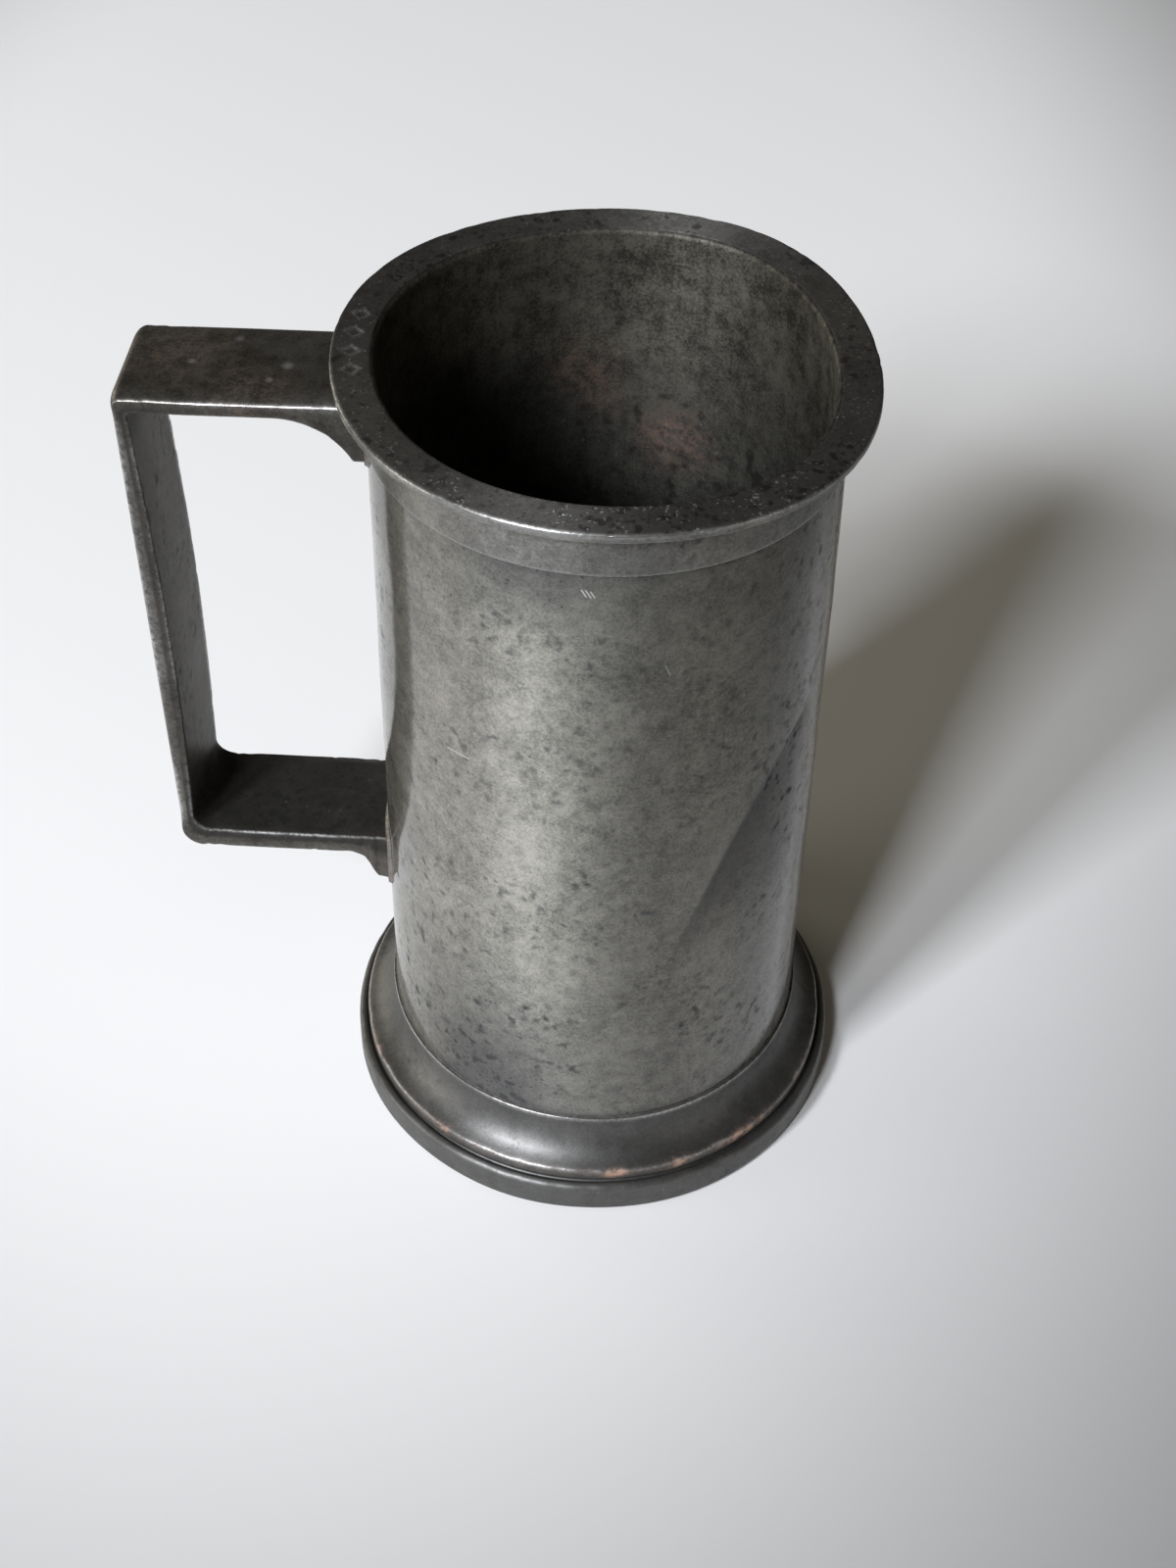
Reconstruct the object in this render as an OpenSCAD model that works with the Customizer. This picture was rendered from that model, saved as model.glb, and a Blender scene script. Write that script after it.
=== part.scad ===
// Cylindrical pewter measure: a straight drum with a flanged rim, a let-in floor, a hollow moulded
// foot and one wide strap handle, all joined by beds of soft solder.
// Sizes are in millimetres. +Z is up, the origin is on the drum's axis at table level, and the
// handle stands out towards -X.

/* [Vessel] */
// Height of the inside floor above the table
floor_h = 18; // [15:0.1:22]
// Inside diameter of the drum
bore_d = 86; // [70:0.5:105]
// Inside depth, floor to rim
depth = 172; // [143:1:210]
// Thickness of the drum's wall
wall = 2.3; // [1.8:0.1:4]

/* [Rim] */
// How far the flange stands out from the drum
flange_reach = 5.9; // [4.5:0.1:9]
// Thickness of the flange
flange_t = 2.2; // [1.5:0.1:3.5]
// Rounding of the flange's worn edge
flange_round = 0.7; // [0.3:0.05:0.7]
// Height of the whole rim casting, top face to the collar's lower edge
rim_h = 13.8; // [11:0.1:20]
// How far the collar stands out from the drum
collar_reach = 0.7; // [0.4:0.05:1.5]
// Radius of the hollow under the flange
rim_hollow = 4.4; // [2:0.1:5]
// Rounding of the mouth's inner edge
mouth_round = 1.1; // [0.3:0.1:2]
// Length of the lap in which the rim covers the drum's upper end
lap_h = 7; // [4:0.5:9]
// Thickness of the drum's tongue inside that lap
tongue_t = 1.1; // [0.8:0.05:1.4]

/* [Floor] */
// Thickness of the floor plate
floor_t = 3; // [2:0.1:5]
// Thickness of the flange under the drum's end
floor_flange_t = 2.4; // [1.5:0.1:4]
// Width of that flange, inwards from the drum's outer face
floor_flange_w = 5.3; // [4:0.1:9]

/* [Foot] */
// How far the foot stands out from the drum
foot_reach = 9.3; // [7:0.1:14]
// Height of the foot's top edge above the table
foot_h = 21.4; // [20:0.1:26]
// Height of the plinth band at the bottom
band_h = 7.8; // [6:0.1:9]
// Thickness of the plinth band's wall
band_t = 3.5; // [2.5:0.1:5]
// Rounding of the plinth band's shoulder
band_round = 1.2; // [0.5:0.1:2]
// How far the lip at the foot's top stands out from the drum
lip_reach = 0.6; // [0.6:0.1:2]
// Height of that lip
lip_h = 2.2; // [1.5:0.1:3]
// Rounding of the lip's top edge
lip_round = 0.2; // [0.1:0.05:0.25]
// How far the scotia's lower edge stands back from the plinth band
edge_set_back = 2.2; // [1.6:0.1:3.5]
// Height of the scotia's lower edge above the plinth band
edge_h = 3.1; // [1.5:0.1:4]
// Rounding of that edge
edge_round = 0.8; // [0.3:0.1:1]
// Width of the turned groove under that edge
groove_w = 0.9; // [0.4:0.1:1.4]
// Thickness of the foot's wall behind the scotia
scotia_t = 4.4; // [3.5:0.1:5]
// Width of the ledge under the floor plate
ledge_w = 2.2; // [1.5:0.1:3]
// Thickness of that ledge
ledge_t = 2.2; // [1.5:0.1:3]

/* [Handle] */
// Width of the strap
strap_w = 25; // [18:0.5:32]
// Reach of the grip's outer face from the drum, at the top corner
handle_reach = 47; // [38:0.5:60]
// Height of the upper arm's top face at the outer corner, below the rim
upper_drop = 8.8; // [8.5:0.1:14]
// Height between the upper arm's top face and the lower arm's bottom face
handle_h = 120.2; // [95:0.1:140]
// Rise of each arm from the grip towards the drum, in degrees
arm_rise = 3; // [0:0.1:3.5]
// Lean of the grip, with its top further out, in degrees
grip_lean = 1.3; // [-2:0.1:4]
// Thickness of the upper arm
upper_arm_t = 3.8; // [2.5:0.1:5]
// Thickness of the lower arm
lower_arm_t = 5.5; // [3:0.1:7]
// Thickness of the grip at its two ends
grip_t = 3.2; // [2.5:0.1:5]
// Extra thickness in the middle of the grip, where the hand closes
grip_swell = 1.5; // [0:0.1:3]
// Radius of the upper outer corner
upper_corner = 2.2; // [1:0.1:6]
// Radius of the lower outer corner
lower_corner = 4.5; // [1:0.1:8]
// Radius of the upper inner corner
upper_inner_round = 1; // [0.5:0.1:3]
// Radius of the lower inner corner
lower_inner_round = 4; // [0.5:0.1:6]
// Distance from the drum at which the upper root spreads out
upper_root_spread = 6.4; // [4:0.1:9]
// Distance from the drum at which the lower root spreads out
lower_root_spread = 4.7; // [3:0.1:8]
// Depth of the upper root's tail under its arm
upper_tail = 9.1; // [6:0.1:13]
// Depth of the lower root's tail under its arm
lower_tail = 7.3; // [5:0.1:12]
// Thickness of the tails at their tip, from the drum
tail_t = 1.3; // [0.8:0.1:2]
// Radius under the upper root
upper_root_round = 18; // [4:0.5:22]
// Radius under the lower root
lower_root_round = 4.5; // [2:0.5:12]
// Rounded shoulders of the strap's outer face: across the strap
shoulder_w = 4.3; // [1:0.1:5]
// Rounded shoulders of the strap's outer face: through the strap
shoulder_t = 1.2; // [0.5:0.1:1.6]
// Rounding of the strap's inner edges
inner_edge = 0.8; // [0.4:0.1:1.5]

/* [Solder] */
// Thickness of the solder beds
solder_t = 0.3; // [0.2:0.05:0.5]
// How far the solder is squeezed out round the handle's roots
bead = 0.6; // [0.3:0.1:1.2]

/* [Hidden] */
$fn = 96;
// Overshoot of cutting shapes
over = 1;
// Steps on a rounded corner of the strap's outline and of its section
corner_steps = 6;
edge_steps = 4;
// Largest share of a straight side that a rounded corner may take up
side_share = 0.95;
// Stations along the grip
grip_steps = 14;

// Radii of the vessel
bore_r = bore_d / 2;
drum_r = bore_r + wall;
tongue_r = bore_r + tongue_t;
collar_r = drum_r + collar_reach;
flange_r = drum_r + flange_reach;
foot_r = drum_r + foot_reach;
socket_r = drum_r + solder_t;

// Heights of the vessel
height = floor_h + depth;
rim_z = height - rim_h;
flange_z = height - flange_t;
tongue_z = rim_z + lap_h;
floor_under_z = floor_h - floor_t;
drum_z = floor_under_z + solder_t;
ledge_z = floor_under_z - floor_flange_t - solder_t;

// Foot: the scotia is a circle that leaves the lip upright and ends at the lower edge, which a
// small circle rounds off
lip_r = drum_r + lip_reach;
lip_z = foot_h - lip_h;
edge_r = foot_r - edge_set_back;
edge_z = band_h + edge_h;
scotia_dr = edge_r - lip_r;
scotia_dz = lip_z - edge_z;
scotia_r = (scotia_dr * scotia_dr + scotia_dz * scotia_dz) / (2 * scotia_dr);
scotia_centre = [lip_r + scotia_r, lip_z];
edge_centre_r = edge_r - edge_round;
edge_centre_dz = sqrt(pow(scotia_r + edge_round, 2) - pow(scotia_centre.x - edge_centre_r, 2));
edge_centre = [edge_centre_r, lip_z - edge_centre_dz];
edge_touch_share = edge_round / (scotia_r + edge_round);
edge_touch_r = edge_centre.x + edge_touch_share * (scotia_centre.x - edge_centre.x);

// Handle: corner points of its outline, as distance from the axis and height
top_corner = [drum_r + handle_reach, height - upper_drop];
bottom_corner = [top_corner.x - handle_h * tan(grip_lean), top_corner.y - handle_h];
inner_bottom_z = bottom_corner.y + lower_arm_t;
upper_root_r = drum_r + upper_root_spread;
lower_root_r = drum_r + lower_root_spread;
tail_r = drum_r + tail_t;
// The roots start well inside the drum and are then cut to its outside
inside_r = bore_r - strap_w / 4;

// Height of each arm's faces at a distance from the axis
function upper_top(r) = top_corner.y + (top_corner.x - r) * tan(arm_rise);
function upper_under(r) = upper_top(r) - upper_arm_t;
function lower_under(r) = bottom_corner.y + (bottom_corner.x - r) * tan(arm_rise);
function lower_top(r) = lower_under(r) + lower_arm_t;
upper_tail_z = upper_under(upper_root_r) - upper_tail;
lower_tail_z = lower_under(lower_root_r) - lower_tail;

// Distance of the grip's outer face from the axis at a height, and its thickness there
function grip_out(z) = top_corner.x - (top_corner.y - z) * tan(grip_lean);
function grip_share(z) = (z - inner_bottom_z) / (top_corner.y - upper_arm_t - inner_bottom_z);
function grip_thick(z) = grip_t + grip_swell * max(0, sin(180 * grip_share(z)));
function grip_in(z) = grip_out(z) - grip_thick(z);

function unit(v) = v / norm(v);

// Arc of n steps that rounds the corner b between a and c, limited by the shorter side
function rounded(a, b, c, r, n) =
  let (
    u = unit(a - b),
    v = unit(c - b),
    half = acos(u * v) / 2,
    reach = min(r / tan(half), side_share * norm(a - b), side_share * norm(c - b)),
    centre = b + unit(u + v) * reach / cos(half),
    start = b + u * reach - centre,
    turn = sign(cross(u, v)) * (2 * half - 180)
  )
  [for (i = [0:n])
    let (t = turn * i / n)
    centre + [start.x * cos(t) - start.y * sin(t), start.x * sin(t) + start.y * cos(t)]];

// Underside of a root, from inside the vessel to the arm: tail, bend, arm
function root_line(knee, tail_z, bend, arm) =
  concat(
    [[inside_r, tail_z]],
    rounded([inside_r, tail_z], [tail_r, tail_z], knee, tail_t / 2, corner_steps),
    rounded([tail_r, tail_z], knee, arm, bend, 2 * corner_steps)
  );

upper_arm_r = top_corner.x - grip_t;
lower_arm_r = bottom_corner.x - grip_t;
upper_knee = [upper_root_r, upper_under(upper_root_r)];
lower_knee = [lower_root_r, lower_under(lower_root_r)];
upper_arm_start = [upper_root_r, upper_top(upper_root_r)];
lower_arm_start = [lower_root_r, lower_top(lower_root_r)];
upper_root = root_line(
  upper_knee, upper_tail_z, upper_root_round, [upper_arm_r, upper_under(upper_arm_r)]);
lower_root = root_line(
  lower_knee, lower_tail_z, lower_root_round, [lower_arm_r, lower_under(lower_arm_r)]);

// Outer and inner line of the strap, station by station, from the upper root round to the lower one
grip_z = [for (i = [0:grip_steps])
  let (
    from = upper_under(upper_arm_r) - upper_corner,
    to = inner_bottom_z + lower_corner
  )
  from + (to - from) * i / grip_steps];
outer_line = concat(
  [for (p = upper_root) [p.x, upper_top(p.x)]],
  rounded(upper_arm_start, top_corner, bottom_corner, upper_corner, corner_steps),
  [for (z = grip_z) [grip_out(z), z]],
  rounded(top_corner, bottom_corner, lower_knee, lower_corner, corner_steps),
  [for (i = [len(lower_root) - 1:-1:0]) lower_root[i]]
);
upper_inner_corner = [grip_in(upper_under(upper_arm_r)), upper_under(upper_arm_r)];
lower_inner_corner = [grip_in(inner_bottom_z), lower_top(lower_arm_r)];
grip_middle = [grip_in((top_corner.y + bottom_corner.y) / 2), (top_corner.y + bottom_corner.y) / 2];
inner_line = concat(
  upper_root,
  rounded(upper_knee, upper_inner_corner, grip_middle, upper_inner_round, corner_steps),
  [for (z = grip_z) [grip_in(z), z]],
  rounded(grip_middle, lower_inner_corner, lower_arm_start, lower_inner_round, corner_steps),
  [for (i = [len(lower_root) - 1:-1:0]) [lower_root[i].x, lower_top(lower_root[i].x)]]
);

// A rounded corner of the strap's section: distance across the strap, then depth through it
function section_corner(side, a, depth_at, b, from) =
  [for (i = [0:edge_steps])
    let (t = from + 90 * i / edge_steps)
    [side * (strap_w / 2 - a + a * abs(cos(t))), depth_at + b * sin(t)]];

// Section of a strap of thickness t: rounded shoulders outside (depth 0), small edges inside
function section(t) =
  let (s = min(shoulder_t, t / 2), e = min(inner_edge, t / 2))
  concat(
    section_corner(1, shoulder_w, s, s, 270),
    section_corner(1, inner_edge, t - e, e, 0),
    section_corner(-1, inner_edge, t - e, e, 90),
    section_corner(-1, shoulder_w, s, s, 180)
  );

// Section placed between an outer and an inner point of the outline
function station(o, i) =
  let (d = unit(i - o))
  [for (p = section(norm(i - o)))
    let (q = o + d * p.y)
    [-q.x, p.x, q.y]];

// Solid through a row of closed rings of equal length
module loft(rings) {
  n = len(rings[0]);
  last = len(rings) - 1;
  points = [for (ring = rings) for (p = ring) p];
  sides = [
    for (k = [0:last - 1])
    for (j = [0:n - 1])
    let (a = k * n + j, b = k * n + (j + 1) % n)
    for (face = [[a, b, b + n], [a, b + n, a + n]]) face
  ];
  first_cap = [for (j = [n - 1:-1:0]) j];
  last_cap = [for (j = [0:n - 1]) last * n + j];
  polyhedron(points, concat(sides, [first_cap, last_cap]));
}

// Rectangle with its lower left corner at p and round corners of radius r on its right side
module right_rounded(p, size, r) {
  translate(p)
    square([size.x - r, size.y]);
  translate([p.x, p.y + r])
    square([size.x, size.y - 2 * r]);
  translate([p.x + size.x - r, p.y + r])
    circle(r);
  translate([p.x + size.x - r, p.y + size.y - r])
    circle(r);
}

// Ring of rectangular section
module ring(inner, outer, from, to) {
  rotate_extrude()
    translate([inner, from])
      square([outer - inner, to - from]);
}

// The straight tube, with a thin tongue at its upper end
module drum() {
  color([0.48, 0.48, 0.46])
    rotate_extrude() {
      translate([bore_r, drum_z])
        square([wall, rim_z - solder_t - drum_z]);
      translate([bore_r, drum_z])
        square([tongue_t, tongue_z - drum_z]);
    }
}

// Flange, hollow and collar of the mouth, before the lap is cut
module rim_outline() {
  right_rounded([bore_r, flange_z], [flange_r - bore_r, flange_t], flange_round);
  translate([bore_r, rim_z])
    square([collar_r - bore_r, flange_z - rim_z + flange_t / 2]);
  difference() {
    translate([bore_r, flange_z - rim_hollow])
      square([collar_r - bore_r + rim_hollow, rim_hollow + flange_t / 2]);
    translate([collar_r + rim_hollow, flange_z - rim_hollow])
      circle(rim_hollow);
  }
}

module rim() {
  color([0.32, 0.32, 0.30])
    rotate_extrude()
      difference() {
        rim_outline();
        translate([0, rim_z - over])
          square([tongue_r + solder_t, lap_h + solder_t + over]);
        difference() {
          translate([bore_r - over, height - mouth_round])
            square([mouth_round + over, mouth_round + over]);
          translate([bore_r + mouth_round, height - mouth_round])
            circle(mouth_round);
        }
      }
}

// Floor disc: a spigot inside the drum and a flange under the drum's end
module base_plate() {
  color([0.36, 0.36, 0.33]) {
    translate([0, 0, floor_under_z])
      cylinder(r = bore_r - solder_t, h = floor_t);
    difference() {
      translate([0, 0, floor_under_z - floor_flange_t])
        cylinder(r = drum_r, h = floor_flange_t);
      translate([0, 0, floor_under_z - floor_flange_t - over])
        cylinder(r = drum_r - floor_flange_w, h = floor_flange_t + over);
    }
  }
}

// Space under the foot, bounded by the plinth band and by an arc that follows the scotia
module foot_hollow() {
  difference() {
    translate([0, -over])
      square([foot_r - band_t, ledge_z - ledge_t + over]);
    translate(scotia_centre)
      circle(scotia_r + scotia_t);
  }
  translate([0, -over])
    square([socket_r - ledge_w, ledge_z + 2 * over]);
}

module foot() {
  color([0.42, 0.42, 0.40])
    rotate_extrude()
      difference() {
        union() {
          right_rounded([0, 0], [foot_r, band_h], band_round);
          right_rounded([0, edge_z], [lip_r, foot_h - edge_z], lip_round);
          difference() {
            translate([0, band_h - band_round])
              square([edge_touch_r, lip_z - band_h + band_round]);
            translate(scotia_centre)
              circle(scotia_r);
          }
          translate([0, band_h - band_round])
            square([edge_r, edge_centre.y - band_h + band_round]);
          translate(edge_centre)
            circle(edge_round);
        }
        translate([edge_r, band_h])
          circle(groove_w / 2);
        translate([0, ledge_z])
          square([socket_r, foot_h - ledge_z + over]);
        foot_hollow();
      }
}

// Outside of the drum and the collar, grown by a margin
module vessel_space(margin) {
  translate([0, 0, drum_z])
    cylinder(r = drum_r + margin, h = height - drum_z);
  translate([0, 0, rim_z - margin])
    cylinder(r = collar_r + margin, h = rim_h + margin);
}

// One casting: both arms, the grip and the flared roots, hollowed at the roots to fit the vessel
module handle() {
  color([0.27, 0.25, 0.22])
    difference() {
      loft([for (k = [0:len(outer_line) - 1]) station(outer_line[k], inner_line[k])]);
      vessel_space(solder_t);
    }
}

module rim_solder() {
  color([0.50, 0.46, 0.40]) {
    ring(tongue_r, tongue_r + solder_t, rim_z - solder_t, tongue_z + solder_t);
    ring(tongue_r, drum_r, rim_z - solder_t, rim_z);
    ring(bore_r, tongue_r + solder_t, tongue_z, tongue_z + solder_t);
  }
}

module base_solder() {
  color([0.50, 0.46, 0.40]) {
    ring(bore_r - solder_t, bore_r, floor_under_z, floor_h);
    ring(bore_r - solder_t, drum_r, floor_under_z, drum_z);
  }
}

module foot_solder() {
  color([0.50, 0.46, 0.40]) {
    ring(drum_r, socket_r, ledge_z, foot_h - lip_round);
    ring(socket_r - ledge_w, socket_r, ledge_z, ledge_z + solder_t);
  }
}

// Bed of solder behind a root, between two heights, squeezed out by the bead all round
module root_solder(from, to) {
  color([0.46, 0.36, 0.28])
    difference() {
      intersection() {
        vessel_space(solder_t);
        translate([-foot_r, -strap_w / 2 - bead, from - bead])
          cube([foot_r, strap_w + 2 * bead, to - from + 2 * bead]);
      }
      vessel_space(0);
    }
}

// The upper bed ends where the hollow under the flange begins
module upper_handle_solder() {
  root_solder(upper_tail_z, min(upper_top(collar_r), flange_z - rim_hollow - bead));
}

module lower_handle_solder() {
  root_solder(lower_tail_z, lower_top(drum_r));
}

drum();
rim();
base_plate();
foot();
handle();
rim_solder();
base_solder();
foot_solder();
upper_handle_solder();
lower_handle_solder();
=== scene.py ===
"""Looks of a handled pewter measure: drum, mouth rim, floor, moulded foot, strap handle and their solder.

Lengths in the dataclasses are millimetres, angles are degrees, and the meshes are in metres. +Z is up, the
origin is on the drum's axis at table level and the handle stands out towards -X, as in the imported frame.
"""

import logging
from dataclasses import dataclass, field
from enum import Enum
from typing import Optional, Sequence, Union

import bpy
import numpy as np
from mathutils import Matrix, Vector


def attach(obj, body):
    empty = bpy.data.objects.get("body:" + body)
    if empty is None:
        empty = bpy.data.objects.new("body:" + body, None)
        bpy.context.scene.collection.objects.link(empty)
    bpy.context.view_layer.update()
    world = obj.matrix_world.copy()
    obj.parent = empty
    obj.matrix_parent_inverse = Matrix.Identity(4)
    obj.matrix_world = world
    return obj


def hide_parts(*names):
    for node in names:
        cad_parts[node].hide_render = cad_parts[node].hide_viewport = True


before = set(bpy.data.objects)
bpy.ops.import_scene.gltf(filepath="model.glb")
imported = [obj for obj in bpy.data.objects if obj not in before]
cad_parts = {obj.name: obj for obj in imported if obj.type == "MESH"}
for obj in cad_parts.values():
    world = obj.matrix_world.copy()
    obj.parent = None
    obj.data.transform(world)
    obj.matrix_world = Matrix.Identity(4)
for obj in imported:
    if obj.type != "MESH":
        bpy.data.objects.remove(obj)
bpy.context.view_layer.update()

log = logging.getLogger("measure")

Array = np.ndarray
Colour = tuple[float, float, float]
Point = tuple[float, float, float]
Span = tuple[float, float]
MM = 0.001
BODY = "root"
# Distance below which two points are one
SAME_PLACE = 1e-6
# Largest share of a side that the rounding of a corner takes
LONGEST_ROUNDING = 0.95
# Steps of a rounded corner, and how far beyond it lie the points that keep its shading off the flat sides
CORNER_STEPS = 5
GUARD = 0.05
GUARD_SHARE = 0.3
# How squarely a face looks at the axis to count as inside: 1 is straight at it
INWARD = 0.4
# Middle of a noise, and the roughness of the crisp ones
MIDDLE = 0.5
CRISP = 0.7


class Slot(Enum):
    """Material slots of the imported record."""

    DRUM = "drum_pewter"
    RIM = "rim_pewter"
    FLOOR = "floor_pewter"
    FOOT = "foot_pewter"
    HANDLE = "handle_pewter"
    SOLDER = "solder"


class Mask(Enum):
    """Shares from 0 to 1 that a mesh carries at its points for its finish to read."""

    # Bare rubbed metal, together with painted highlights and reflections on some edges
    WEAR_AND_HIGHLIGHT = "wear"
    # Soiling and oxide, together with painted shade in the bore, below the drum's crease and on the handle's
    # inner faces
    GRIME_AND_SHADE = "grime"
    COPPER = "copper"
    SCUFF = "scuff"


class Layer(Enum):
    """Shifts that keep the noises of one finish from falling on each other."""

    REGION = (31.0, 17.0, 53.0)
    MOTTLE = (61.0, 23.0, 5.0)
    BLOT = (7.0, 41.0, 11.0)
    SCUFF = (3.0, 29.0, 71.0)
    GATHERING = (13.0, 9.0, 37.0)


Masks = dict[Mask, Array]


def eased(x: Array, low: float, high: float) -> Array:
    """Rise from 0 at low to 1 at high along the cubic 3t^2 - 2t^3."""
    t = np.clip((x - low) / (high - low), 0.0, 1.0)
    return t * t * (3.0 - 2.0 * t)


def bell(x: Array, width: Union[float, Array]) -> Array:
    """Bell curve exp(-(x / width)^2)."""
    return np.exp(-np.square(x / width))


def full(row: Array, column: Array) -> Array:
    """A row repeated for each entry of a column, as a whole grid."""
    return row + 0.0 * column


def turn_from(angle: Array, start: Union[float, Array]) -> Array:
    """Signed turn from a start angle to an angle, folded into -180 to 180 degrees."""
    return (angle - start + 180.0) % 360.0 - 180.0


def on_axis_circle(angle: float, radius: float, height: float) -> Point:
    """Point at an angle, a distance from the axis and a height."""
    a = np.radians(angle)
    return float(radius * np.cos(a)), float(radius * np.sin(a)), height


@dataclass(frozen=True)
class Sector:
    """A stretch round the axis where a value swells: its middle, width, reach and the value outside it."""

    angle: float
    width: float
    reach: float
    base: float = 0.0

    def at(self, angle: Array) -> Array:
        """Value at an angle: the base plus the reach times a bell over the turn from the middle."""
        return self.base + self.reach * bell(turn_from(angle, self.angle), self.width)


@dataclass(frozen=True)
class Line:
    """A line along a corner of a section, of bared metal, soiling, colour, painted highlight or painted
    shade: its width and strength.
    """

    width: float
    strength: float = 1.0

    def at(self, r: Array, z: Array, corner: Span) -> Array:
        """Share near a corner of the section: the strength times a bell over the distance from it."""
        return self.strength * bell(np.hypot(r - corner[0], z - corner[1]), self.width)


@dataclass(frozen=True)
class Ripple:
    """Smooth unevenness: a sum of cosine waves with seeded directions, lengths and phases."""

    seed: int
    shortest: float
    longest: float
    waves: int = 18

    def at(self, u: Array, v: Array) -> Array:
        """Height of the ripple, about -1 to 1.

        Args:
            u: First surface coordinate, in millimetres.
            v: Second surface coordinate, in millimetres.

        Returns:
            Array of the shape of u and v broadcast together.
        """
        draw = np.random.default_rng(self.seed)
        length = draw.uniform(self.shortest, self.longest, self.waves)
        way = draw.uniform(0.0, 2.0 * np.pi, self.waves)
        phase = draw.uniform(0.0, 2.0 * np.pi, self.waves)
        k = 2.0 * np.pi / length
        wave = np.cos(np.multiply.outer(u, k * np.cos(way)) + np.multiply.outer(v, k * np.sin(way)) + phase)
        return wave.mean(axis=-1) * np.sqrt(self.waves / 2.0)


@dataclass(frozen=True)
class Nicks:
    """Small knocks scattered along an edge, each a bell-shaped dent."""

    seed: int
    count: int
    narrowest: float
    widest: float
    deepest: float
    shallowest_share: float = 0.2

    def depth(self, along: Array, length: float) -> Array:
        """Depth of the dents at places along a closed edge.

        Args:
            along: Places along the edge, in millimetres.
            length: Length of the whole edge, after which it closes on itself.

        Returns:
            Depth at each place, in millimetres.
        """
        draw = np.random.default_rng(self.seed)
        place = draw.uniform(0.0, length, self.count)
        width = draw.uniform(self.narrowest, self.widest, self.count)
        depth = self.deepest * draw.uniform(self.shallowest_share, 1.0, self.count) ** 2
        away = np.subtract.outer(along, place)
        away = (away + length / 2.0) % length - length / 2.0
        return (depth * bell(away, width)).sum(axis=-1)


def fillet(before: Array, corner: Array, after: Array, radius: float, steps: int) -> Array:
    """Round a corner with the arc that touches both of its sides.

    Args:
        before: Point before the corner.
        corner: The corner itself.
        after: Point after the corner.
        radius: Radius of the arc, kept within the shorter side.
        steps: Number of steps on the arc.

    Returns:
        Points of the arc, steps + 1 by 2.
    """
    u, v = before - corner, after - corner
    longest = LONGEST_ROUNDING * min(np.linalg.norm(u), np.linalg.norm(v))
    u, v = u / np.linalg.norm(u), v / np.linalg.norm(v)
    half = np.arccos(np.clip(u @ v, -1.0, 1.0)) / 2.0
    reach = min(radius / np.tan(half), longest)
    centre = corner + (u + v) / np.linalg.norm(u + v) * reach / np.cos(half)
    start = corner + u * reach - centre
    turn = np.sign(u[0] * v[1] - u[1] * v[0]) * (2.0 * half - np.pi)
    t = turn * np.linspace(0.0, 1.0, steps + 1)
    across = start[0] * np.cos(t) - start[1] * np.sin(t)
    up = start[0] * np.sin(t) + start[1] * np.cos(t)
    return centre + np.stack([across, up], axis=-1)


def arc(centre: Span, radius: float, first: float, last: float, steps: int) -> Array:
    """Points of a circle from a first to a last angle, in degrees."""
    t = np.radians(np.linspace(first, last, steps + 1))
    return np.array(centre) + radius * np.stack([np.cos(t), np.sin(t)], axis=-1)


def subdivided(line: Array, step: float) -> Array:
    """Add points evenly on the sides of a line: each side is cut into as many equal parts as it needs.

    Args:
        line: Points of the line, one row each.
        step: Longest distance between neighbouring points.

    Returns:
        Points of the finer line.
    """
    side = np.linalg.norm(np.diff(line, axis=0), axis=-1)
    cuts = np.maximum(1, np.ceil(side / step)).astype(int)
    start = np.repeat(np.arange(len(cuts)), cuts)
    share = (np.arange(cuts.sum()) - np.repeat(np.cumsum(cuts) - cuts, cuts)) / np.repeat(cuts, cuts)
    inner = line[start] + share[:, None] * (line[start + 1] - line[start])
    return np.vstack([inner, line[-1:]])


@dataclass(frozen=True)
class Corner:
    """Corner of a turned section: distance from the axis, height and rounding."""

    r: float
    z: float
    rounding: float = 0.12

    def point(self) -> Array:
        """The corner as an array."""
        return np.array([self.r, self.z])


Runs = list[Union[Corner, Array]]


def section_line(runs: Runs, step: float, closed: bool = True) -> Array:
    """Section through rounded corners and ready-made arcs.

    Args:
        runs: Corners and arcs in order, anticlockwise with the axis at the left.
        step: Longest distance between neighbouring points.
        closed: Whether the last run joins the first.

    Returns:
        Points as distance from the axis and height; a closed section doesn't repeat its first point.
    """
    ends = [(run.point(), run.point()) if isinstance(run, Corner) else (run[0], run[-1]) for run in runs]
    line = []
    for i, run in enumerate(runs):
        at_end = not closed and i in (0, len(runs) - 1)
        if not isinstance(run, Corner):
            line.append(run)
        elif at_end or run.rounding <= 0.0:
            line.append(run.point()[None])
        else:
            before, after = ends[i - 1][1], ends[(i + 1) % len(runs)][0]
            bend = fillet(before, run.point(), after, run.rounding, CORNER_STEPS)
            sides = np.stack([before, after]) - run.point()
            guard = min(GUARD, GUARD_SHARE * run.rounding) * sides
            guard = guard / np.linalg.norm(sides, axis=-1, keepdims=True)
            line.append(np.vstack([bend[:1] + guard[:1], bend, bend[-1:] + guard[1:]]))
    points = np.vstack(line + ([line[0][:1]] if closed else []))
    apart = np.linalg.norm(np.diff(points, axis=0), axis=-1) > SAME_PLACE
    points = subdivided(points[np.concatenate([[True], apart])], step)
    return points[:-1] if closed else points


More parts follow.
